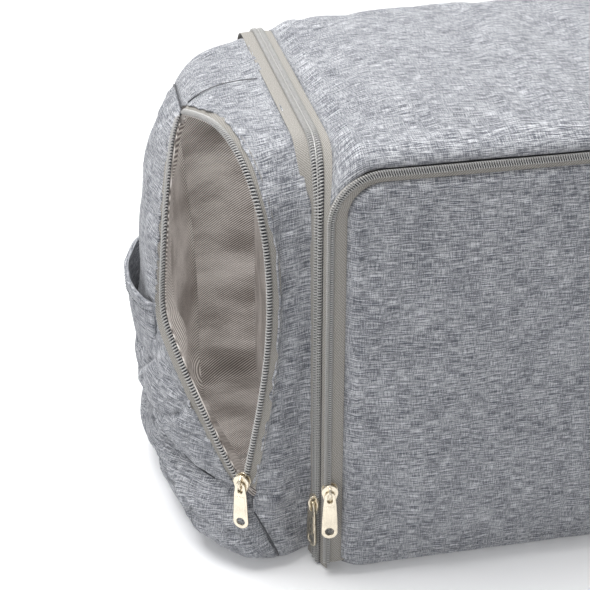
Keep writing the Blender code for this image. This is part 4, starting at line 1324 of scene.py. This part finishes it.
def build_inside():
    """Linings of the main compartment and of the insulated pockets."""
    low = 0.0048

    def loose(scale, amount, seed):
        def wave(u, v):
            side = min(u, 1 - u, v, 1 - v)
            return amount * ripple(u * scale, v * scale, seed) * smooth(side / 0.12)
        return wave

    size_y, size_z = BACK_Y - FRONT_Y - 0.010, TOP_Z - 0.0125
    divider = sheet_piece("divider_left_lining", 40, 46, (-0.1462, FRONT_Y + 0.004, low), (0, size_y, 0),
                          (0, 0, size_z), LINING, loose(5, 0.0012, 1.0), 0.0016)
    both(divider, "carcass", "divider_left")

    foil_y, foil_z = size_y - 0.001, size_z - 0.004
    sheet = sheet_piece("insulation_left_lining", 60, 60, (-0.1512, FRONT_Y + 0.0035 + foil_y, 0.005),
                        (0, -foil_y, 0), (0, 0, foil_z), FOIL, loose(7, 0.0014, 4.0), 0.0012)
    both(sheet, "carcass", "foil_lining_left")

    wall = sheet_piece("lid_wall_lining", 50, 46, (0.1445, -0.1072, LID_BOTTOM_Z + 0.001), (-0.289, 0, 0),
                       (0, 0, 0.252), LINING, loose(6, 0.0018, 2.0), 0.0030)
    give(wall, "front_lid", "front_wall")

    board = sheet_piece("base_lining", 40, 30, (-0.1440, -0.0980, 0.0068), (0.288, 0, 0), (0, 0.1920, 0),
                        LINING, loose(6, 0.0006, 8.0), 0.0024)
    give(board, "carcass", "base_board")


def lining_sheet(name, points, faces, cloth):
    """Foil lining with its outer side towards the cloth."""
    obj = face_out(mesh_piece(name, points, faces, FOIL, cloth), LEFT_HEART)
    obj.data.flip_normals()
    return thicken(obj, LINING_THICK)


def lip_clearance(t, near):
    """Clearance of the lining from the cloth: near along the mouth's lips, wider elsewhere."""
    return near if 0.01 <= t <= 0.99 else 0.0060


def lining_face():
    """Crumpled lining inside the left bottle pocket's dome."""
    rows = 24
    points, cloth = [], []
    for i in range(rows + 1):
        for t in COLUMNS:
            start = math.asin(min(lip_depth(t, MOUTH_OUTER_BOW) / END_DEPTH, 0.9995))
            angle = start + (math.radians(88.5) - start) * i / rows
            place = Ring(END_DEPTH * math.sin(angle)).along(t)
            inward = (LEFT_HEART - place).normalized()
            loose = 0.0018 * ripple(place.y * 50, place.z * 22, 1.0)
            loose += 0.0110 * max(ripple(place.y * 18 + place.z * 10, place.z * 8, 4.0), 0)
            full = (0.0090 + loose) * smooth(i / rows / 0.3)
            points.append(place + inward * (lip_clearance(t, 0.0012) + full))
            cloth.append((place.y, place.z))
    faces = grid_faces(rows + 1, len(COLUMNS), closed=True)
    hub = close_hub(points, faces, len(COLUMNS))
    cloth.append((hub.y, hub.z))
    return lining_sheet("lining_face", points, faces, cloth)


def lining_side():
    """Lining inside the left gusset, from the dome's lining to the divider."""
    rows = 12
    points, cloth = [], []
    for i in range(rows + 1):
        share = i / rows
        for t in COLUMNS:
            depth = lip_depth(t, -MOUTH_INNER_BOW) * i / rows
            place = Ring(depth).along(t)
            place.x += 0.0030 * (1 - share)
            inward = (LEFT_HEART - place).normalized()
            inward.x = 0
            lip = lip_clearance(t, 0.0010)
            loose = 0.0016 * ripple(place.y * 40, place.z * 40, 2.0) * math.sin(math.pi * share)
            points.append(place + inward * (lip + (0.0088 - lip) * smooth((1 - share) / 0.4) + loose))
            cloth.append((column_length(t), depth))
    return lining_sheet("lining_side", points, grid_faces(rows + 1, len(COLUMNS), closed=True), cloth)


def build_pocket_lining():
    """Crumpled silver lining inside both bottle pockets."""
    both(joined("pocket_lining_left", [lining_face(), lining_side()]), "carcass")


def build_slip_pockets():
    """Patch pocket low on each end, its bound hem standing off."""
    y_low, y_high = -0.026, 0.080
    z_low, z_high = BOOT_Z + 0.003, 0.145
    columns, rows = 44, 34

    def spot(u, v):
        y = y_low + (y_high - y_low) * u
        z = z_low + (z_high - z_low) * v - 0.004 * math.sin(math.pi * u) * v
        lift = 0.0030 + 0.0115 * v * math.sin(math.pi * u) ** 0.6 + 0.0008 * ripple(u * 9, v * 3, 2.0) * v
        lift += 0.0022 * math.sin(math.pi * v) * math.sin(math.pi * u)
        return (-(END_X + end_depth_at(y, z) + lift), y, z), (y, z)

    obj = face_out(grid_piece("slip_pocket_left_cloth", columns, rows, spot, CLOTH), LEFT_HEART)
    hem = [spot(j / columns, 1)[0] for j in range(columns + 1)]
    track = Track(hem, [LEFTWARD] * len(hem), [UPWARD] * len(hem), 0.002)
    fold = [(-0.007, 0.0006), (0.0008, 0.0009), (0.0012, -0.0004), (0.0008, -0.0020)]
    fold += [(-0.007, -0.0017), (-0.007, -0.0010)]
    binding = ribbon("binding", track, fold, CLOTH)
    sewn = stitches(track, -0.0055, 0.0008)
    cloth_part = thicken(obj, CLOTH_THICK)
    both(joined("slip_pocket_left_patch", [cloth_part, binding, sewn]), "carcass", "slip_pocket_left")


def end_depth_at(y, z):
    """Depth of the end's skin at a place seen from the side."""
    low, high = 0.0, END_DEPTH * 0.9999
    for _ in range(30):
        depth = (low + high) / 2
        ring = Ring(depth)
        r = ring.radius if z > END_MIDDLE_Z else ring.foot
        shift = ring.point(y, z).y - y
        upright = y - shift
        dy = max(ring.y0 + r - upright, upright - ring.y1 + r, 0.0)
        dz = max(ring.z0 + r - z, z - ring.z1 + r, 0.0)
        if math.hypot(dy, dz) < r:
            low = depth
        else:
            high = depth
    return low


def build_base():
    """Base cloth, and the soft fold at its front edge that joins it to the lid."""
    half = 0.1515

    def rounded(u, v):
        side = rim(u, v, 2 * half, 0.22)
        return -0.0016 * (1 - smooth(side / 0.006))

    base = sheet_piece("base_cloth", 60, 50, (-half, -0.1185, 0.0034), (2 * half, 0, 0), (0, 0.2221, 0),
                       CLOTH, rounded, 0.0030)
    give(base, "carcass", "base_panel")

    def fold(u, v):
        x = 0.1360 * (2 * u - 1)
        way = deep_way(90 - 92 * v)
        y, z = -0.1190 - 0.0146 * way.y, 0.0124 - 0.0120 * way.z
        dent = 0.0006 * ripple(x * 60, v * 3.6, 3.0) + 0.0054 * (max(abs(x) - 0.124, 0) / 0.012) ** 2
        return (x, y + dent, max(z, 0.0004)), (x, v * 0.0192)

    skirt = thicken(face_out(grid_piece("front_fold_cloth", 90, 12, fold, CLOTH)), 0.0008)
    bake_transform(skirt)


def build_back():
    """Padded back panel with sewn channels."""
    half, low, high = 0.1510, 0.004, BACK_ZIP_Z - 0.0092

    def spot(u, v):
        x = half * (2 * u - 1)
        z = low + (high - low) * v
        side = min(half - abs(x), z - low, high - z)
        puff = 0.0022 * smooth(side / 0.010)
        for seam in (-0.052, 0.052):
            puff -= 0.0020 * hump(x - seam, 0.0026) * smooth(side / 0.004)
        puff += 0.0005 * ripple(x * 40, z * 40, 6.0)
        return (x, BACK_Y - 0.0018 + puff, z), (x, z)

    obj = face_out(grid_piece("back_cloth", 100, 70, spot, CLOTH))
    thicken(obj, PADDED_THICK, lining=LINING)
    give(obj, "carcass", "back_panel")


# Carry gear ------------------------------------------------------------------------------------


def sewn_band(node, kind, place, section, seam, lift, thread=THREAD_AND_SHADE):
    """Webbing straight up the back with a row of stitches near each edge, and its twin on the right."""
    x, y, low, high = place
    track = Track([(x, y, low), (x, y, high)], [REARWARD] * 2, [-LEFTWARD] * 2, 0.003)
    parts = [ribbon("band", track, section, WEBBING, False)]
    parts += [stitches(track, side * seam, lift, material=thread) for side in (-1, 1)]
    both(joined(node + "_" + kind, parts), "carcass", node)


def build_straps():
    """Padded straps with their yokes, webbing and foot patches on the back."""
    x = -0.086
    pad_width, thick = 0.052, 0.008
    spine = [(0.0035, 0.236), (0.0085, 0.229), (0.0110, 0.215)]
    spine += [(0.0132, 0.200), (0.0142, 0.170), (0.0132, 0.135)]
    points = [(x, BACK_Y + y, z) for y, z in spine]
    line = Track(points, [(0, 1, 0.1)] * len(points), [-LEFTWARD] * len(points), 0.002)
    cloth_points, cloth = [], []
    around = 28
    total = line.s[-1]
    for s, p, n, a in zip(line.s, line.p, line.n, line.a):
        taper = 1 - 0.42 * smooth((s - total + 0.020) / 0.020) - 0.16 * (1 - smooth(s / 0.020))
        full = 0.35 + 0.65 * smooth(min(s, total - s) / 0.012)
        for k in range(around):
            angle = 2 * math.pi * k / around
            c, q = math.cos(angle), math.sin(angle)
            wide = pad_width / 2 * taper * math.copysign(abs(c) ** 0.45, c)
            high = thick / 2 * full * math.copysign(abs(q) ** 0.8, q)
            seam = 0.0010 * hump(abs(wide) - pad_width / 2 + 0.006, 0.0012)
            high -= math.copysign(seam, q) * smooth(abs(q) * 3)
            cloth_points.append(p + a * wide + n * high)
            cloth.append((wide, s))
    faces = tube_faces(len(line.s), around)
    pad = closed_piece("strap_pad_left_cloth", cloth_points, faces, CLOTH, cloth)
    for part in both(pad, "carcass", "strap_pad_left"):
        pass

    sewn_band("strap_yoke_left", "patch", (x, BACK_Y + 0.0024, 0.209, 0.240),
              band(-0.020, 0.020, 0.0014, 0.0006, 0.0004), 0.017, 0.0009)
    sewn_band("strap_webbing_left", "band", (x, 0.1136, 0.0225, 0.1480),
              band(-0.0125, 0.0125, 0.0014, 0.0007, 0.0001), 0.0110, 0.0008, WEBBING)
    low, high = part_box("strap_foot_left")
    sewn_band("strap_foot_left", "patch", (x, BACK_Y + 0.0064, low.z + 0.0006, high.z - 0.0010),
              band(-0.018, 0.018, high.y - low.y - 0.0004, 0.0, 0.0004), 0.0155, 0.0003)


def build_adjusters():
    """Moulded keepers that slide on the webbing, one rounded ring with a middle bar each."""
    for tag in ("left", "right"):
        low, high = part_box("strap_adjuster_" + tag)
        middle = (low + high) / 2
        outlines = []
        for half_x, half_z, radius, shift in (
            (0.0168, 0.0090, 0.003, 0), (0.0131, 0.0020, 0.0008, 0.0046), (0.0131, 0.0020, 0.0008, -0.0046),
        ):
            outline = []
            for sx, sz, start in ((1, 1, 0), (-1, 1, 90), (-1, -1, 180), (1, -1, 270)):
                x, z = sx * (half_x - radius), shift + sz * (half_z - radius)
                outline += circle(x, z, radius, start, start + 90, 4)
            outlines.append(outline)
        name = "strap_adjuster_" + tag
        place = Matrix.Translation(middle) @ UPRIGHT
        keeper = outline_piece(name + "_keeper", outlines, 0.0022, 0.0007, place, PLASTIC)
        give(keeper, "adjuster_" + tag, name)


def build_handle():
    """Grab handle rolled from webbing, with anchors stitched along both edges."""
    low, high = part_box("grab_handle")
    radius = 0.0045
    half = high.x - radius
    top, bottom = high.z, low.z + radius
    y = (low.y + high.y) / 2 - SHIFT.y
    bend = 0.014
    points = [Vector((-half, y, top))]
    heart = Vector((-half + bend, y, bottom + bend))
    points += [heart + level_way(180 + 90 * k / 8) * bend for k in range(9)]
    points += [p * MIRROR for p in reversed(points)]
    ahead = np.gradient(np.array([tuple(p) for p in points]), axis=0)
    acrosses = [REARWARD.cross(Vector(d)).normalized() for d in ahead]
    track = Track(points, [REARWARD] * len(points), acrosses, ZIP_STEP)
    roll = ribbon("roll", track, round_section(radius, 16), WEBBING)
    seam = stitches(track, 0.0, radius + 0.0001)
    give(joined("grab_handle_roll", [roll, seam]), "handle", "grab_handle")
    sewn_band("handle_anchor_left", "patch", (-half, BACK_Y + 0.0016, 0.2135, 0.2335),
              band(-0.011, 0.011, 0.0012, 0.0005, 0.0003), 0.0085, 0.0008)


# Sliders ---------------------------------------------------------------------------------------


def forward(distance):
    """Placement of an upright plate, a distance forward."""
    return UPRIGHT @ Matrix.Translation((0, 0, distance))


def slider_bridge():
    """Bent wire over a slider, through which the pull's eye goes."""
    path = [(0, -0.0010, 0.0050), (0, -0.0030, 0.0046), (0, -0.0043, 0.0032), (0, -0.0046, 0.0014),
            (0, -0.0043, -0.0006), (0, -0.0032, -0.0020), (0, -0.0010, -0.0024)]
    arch = bpy.data.curves.new("slider_bridge", "CURVE")
    arch.dimensions = "3D"
    arch.bevel_depth = 0.00085
    arch.bevel_resolution = 4
    arch.use_fill_caps = True
    spline = arch.splines.new("POLY")
    spline.points.add(len(path) - 1)
    for point, place in zip(spline.points, path):
        point.co = (*place, 1)
    arch.materials.append(METAL)
    return settle_curve(add_object("slider_bridge", arch))


def slider_parts():
    """Meshes of a slider and of its pull, seen along -Y with the nose up."""
    body = circle(0, 0.0016, 0.0047, -20, 200, 22)
    body += [(-0.0036, -0.0030), (-0.0024, -0.0066), (0.0024, -0.0066), (0.0036, -0.0030)]
    plate = outline_piece("slider_plate", [body], 0.00035, 0.00035, forward(0.0010), METAL)
    back = outline_piece("slider_back", [body], 0.00035, 0.0003, forward(-0.0022), METAL)
    outline = [(-0.0012, 0.0030), (0.0012, 0.0030), (0.0012, -0.0016), (-0.0012, -0.0016)]
    post = outline_piece("slider_post", [outline], 0.0010, 0.0001, forward(-0.0006), METAL)
    slider = joined("slider", [plate, back, slider_bridge(), post])

    top, low = 0.0008, -0.0330
    outline = circle(0, top - 0.0030, 0.0030, 160, 20, 10)
    outline += [(0.0037, -0.0085), (0.0043, -0.0200)]
    outline += circle(0, low + 0.0046, 0.0046, 10, -190, 24)
    outline += [(-0.0043, -0.0200), (-0.0037, -0.0085)]
    eye = circle(0, -0.0016, 0.0017, 180, 0, 8) + circle(0, -0.0052, 0.0020, 0, -180, 8)
    hole = circle(0, low + 0.0048, 0.0031, 0, 340, 18)
    tab = outline_piece("pull_plate", [outline, eye, hole], 0.00030, 0.00035, UPRIGHT, METAL)
    rim_line = [(-0.0028, -0.0092), (0.0028, -0.0092), (0.0033, -0.0218), (-0.0033, -0.0218)]
    field = outline_piece("pull_field", [rim_line], 0.00010, 0.00012, forward(0.00065), METAL)
    return slider, joined("pull", [tab, field])


def build_sliders():
    """Put a slider and a pull on each zip, in the places and headings of the CAD pieces."""
    slider, pull = slider_parts()
    places = (
        ("main_slider", "main_zip_slider", "main_zip_pull", "main_pull_swing"),
        ("pocket_slider", "pocket_zip_slider", "pocket_zip_pull", "pocket_pull_swing"),
        ("bottle_slider_left", "bottle_zip_slider_left", "bottle_zip_pull_left", "bottle_pull_swing_left"),
        ("bottle_slider_right", "bottle_zip_slider_right", "bottle_zip_pull_right",
         "bottle_pull_swing_right"),
    )
    for node, body, pull_body, joint in places:
        axis = Vector(JOINTS[joint]["axis"])
        heading = math.atan2(-axis.y, -axis.x)
        hinge = Vector(JOINTS[joint]["pos_m"])
        turn = Matrix.Rotation(heading, 4, "Z")
        origin = hinge - turn @ Vector((0, -0.0027, 0.0014))
        for source, place, name, owner, cad in (
            (slider, origin, node + "_body", body, node),
            (pull, hinge, node + "_pull", pull_body, node + "_tab"),
        ):
            mesh = source.data.copy()
            mesh.transform(Matrix.Translation(place) @ turn)
            obj = add_object(name, mesh)
            give(obj, owner, cad)
    for source in (slider, pull):
        bpy.data.objects.remove(source, do_unlink=True)


# Stage -----------------------------------------------------------------------------------------


def build_stage():
    """Pale glossy floor under an even white sky."""
    n = Nodes("floor")
    where = n.place()
    tone = n.noise(where, scale=3.0)
    colour = n.ramp(tone, ((0.3, (0.89, 0.895, 0.91)), (0.7, (0.91, 0.913, 0.92))))
    n.tree.links.new(colour, n.shader.inputs["Emission Color"])
    material = n.finish(colour, 0.16, Specular_IOR_Level=0.35, Emission_Strength=0.13)
    mesh = bpy.data.meshes.new("floor")
    size = 6.0
    corners = [(-size, -size, 0), (size, -size, 0), (size, size, 0), (-size, size, 0)]
    mesh.from_pydata(corners, [], [(0, 1, 2, 3)])
    mesh.materials.append(material)
    floor = add_object("floor", mesh)

    world = bpy.data.worlds.new("studio")
    world.use_nodes = True
    world.node_tree.nodes["Background"].inputs["Color"].default_value = (1.0, 1.0, 1.0, 1)
    world.node_tree.nodes["Background"].inputs["Strength"].default_value = 0.40
    bpy.context.scene.world = world
    bpy.context.scene.view_settings.view_transform = "Standard"


def build_lights():
    """Soft lamps above, in front and behind."""
    target = Vector((-0.05, 0, 0.13))
    for name, place, size, power in (
        ("key", (-0.5, 0.3, 1.9), 1.5, 47),
        ("fill", (-1.3, -1.9, 1.1), 1.2, 9),
        ("back", (0.7, 1.5, 1.5), 1.2, 14),
    ):
        lamp = bpy.data.lights.new(name, "AREA")
        lamp.shape = "DISK"
        lamp.size = size
        lamp.energy = power
        obj = add_object(name, lamp)
        obj.location = place
        obj.rotation_euler = (target - Vector(place)).to_track_quat("-Z", "Y").to_euler()


def build_camera():
    """Camera at the photograph's angle, placed by the bag's front corner."""
    side, height = math.radians(11.5), math.radians(30)
    ahead = Vector((math.sin(side) * math.cos(height), math.cos(side) * math.cos(height), -math.sin(height)))
    right = Vector((math.cos(side), -math.sin(side), 0))
    up = right.cross(ahead)
    corner = Vector((-0.148, -0.127, 0)) + SHIFT
    distance = 0.87 + 0.130 * math.sin(height)
    aside, above = 0.0200 * distance, 0.18467 * distance
    eye = corner - ahead * distance - right * aside + up * above
    lens = bpy.data.cameras.new("camera")
    lens.sensor_width = 36
    lens.lens = 91.525
    lens.clip_start = 0.05
    camera = add_object("camera", lens)
    camera.matrix_world = Matrix((
        (right.x, up.x, -ahead.x, eye.x),
        (right.y, up.y, -ahead.y, eye.y),
        (right.z, up.z, -ahead.z, eye.z),
        (0, 0, 0, 1),
    ))
    bpy.context.scene.camera = camera


build_stage()
build_lights()
build_camera()
build_end_cloth()
build_pocket_lining()
build_slip_pockets()
build_bottle_zips()
build_main_zip()
build_pocket_zip()
build_front_panel()
build_top_panel()
build_base()
build_back()
build_inside()
build_straps()
build_adjusters()
build_handle()
build_sliders()
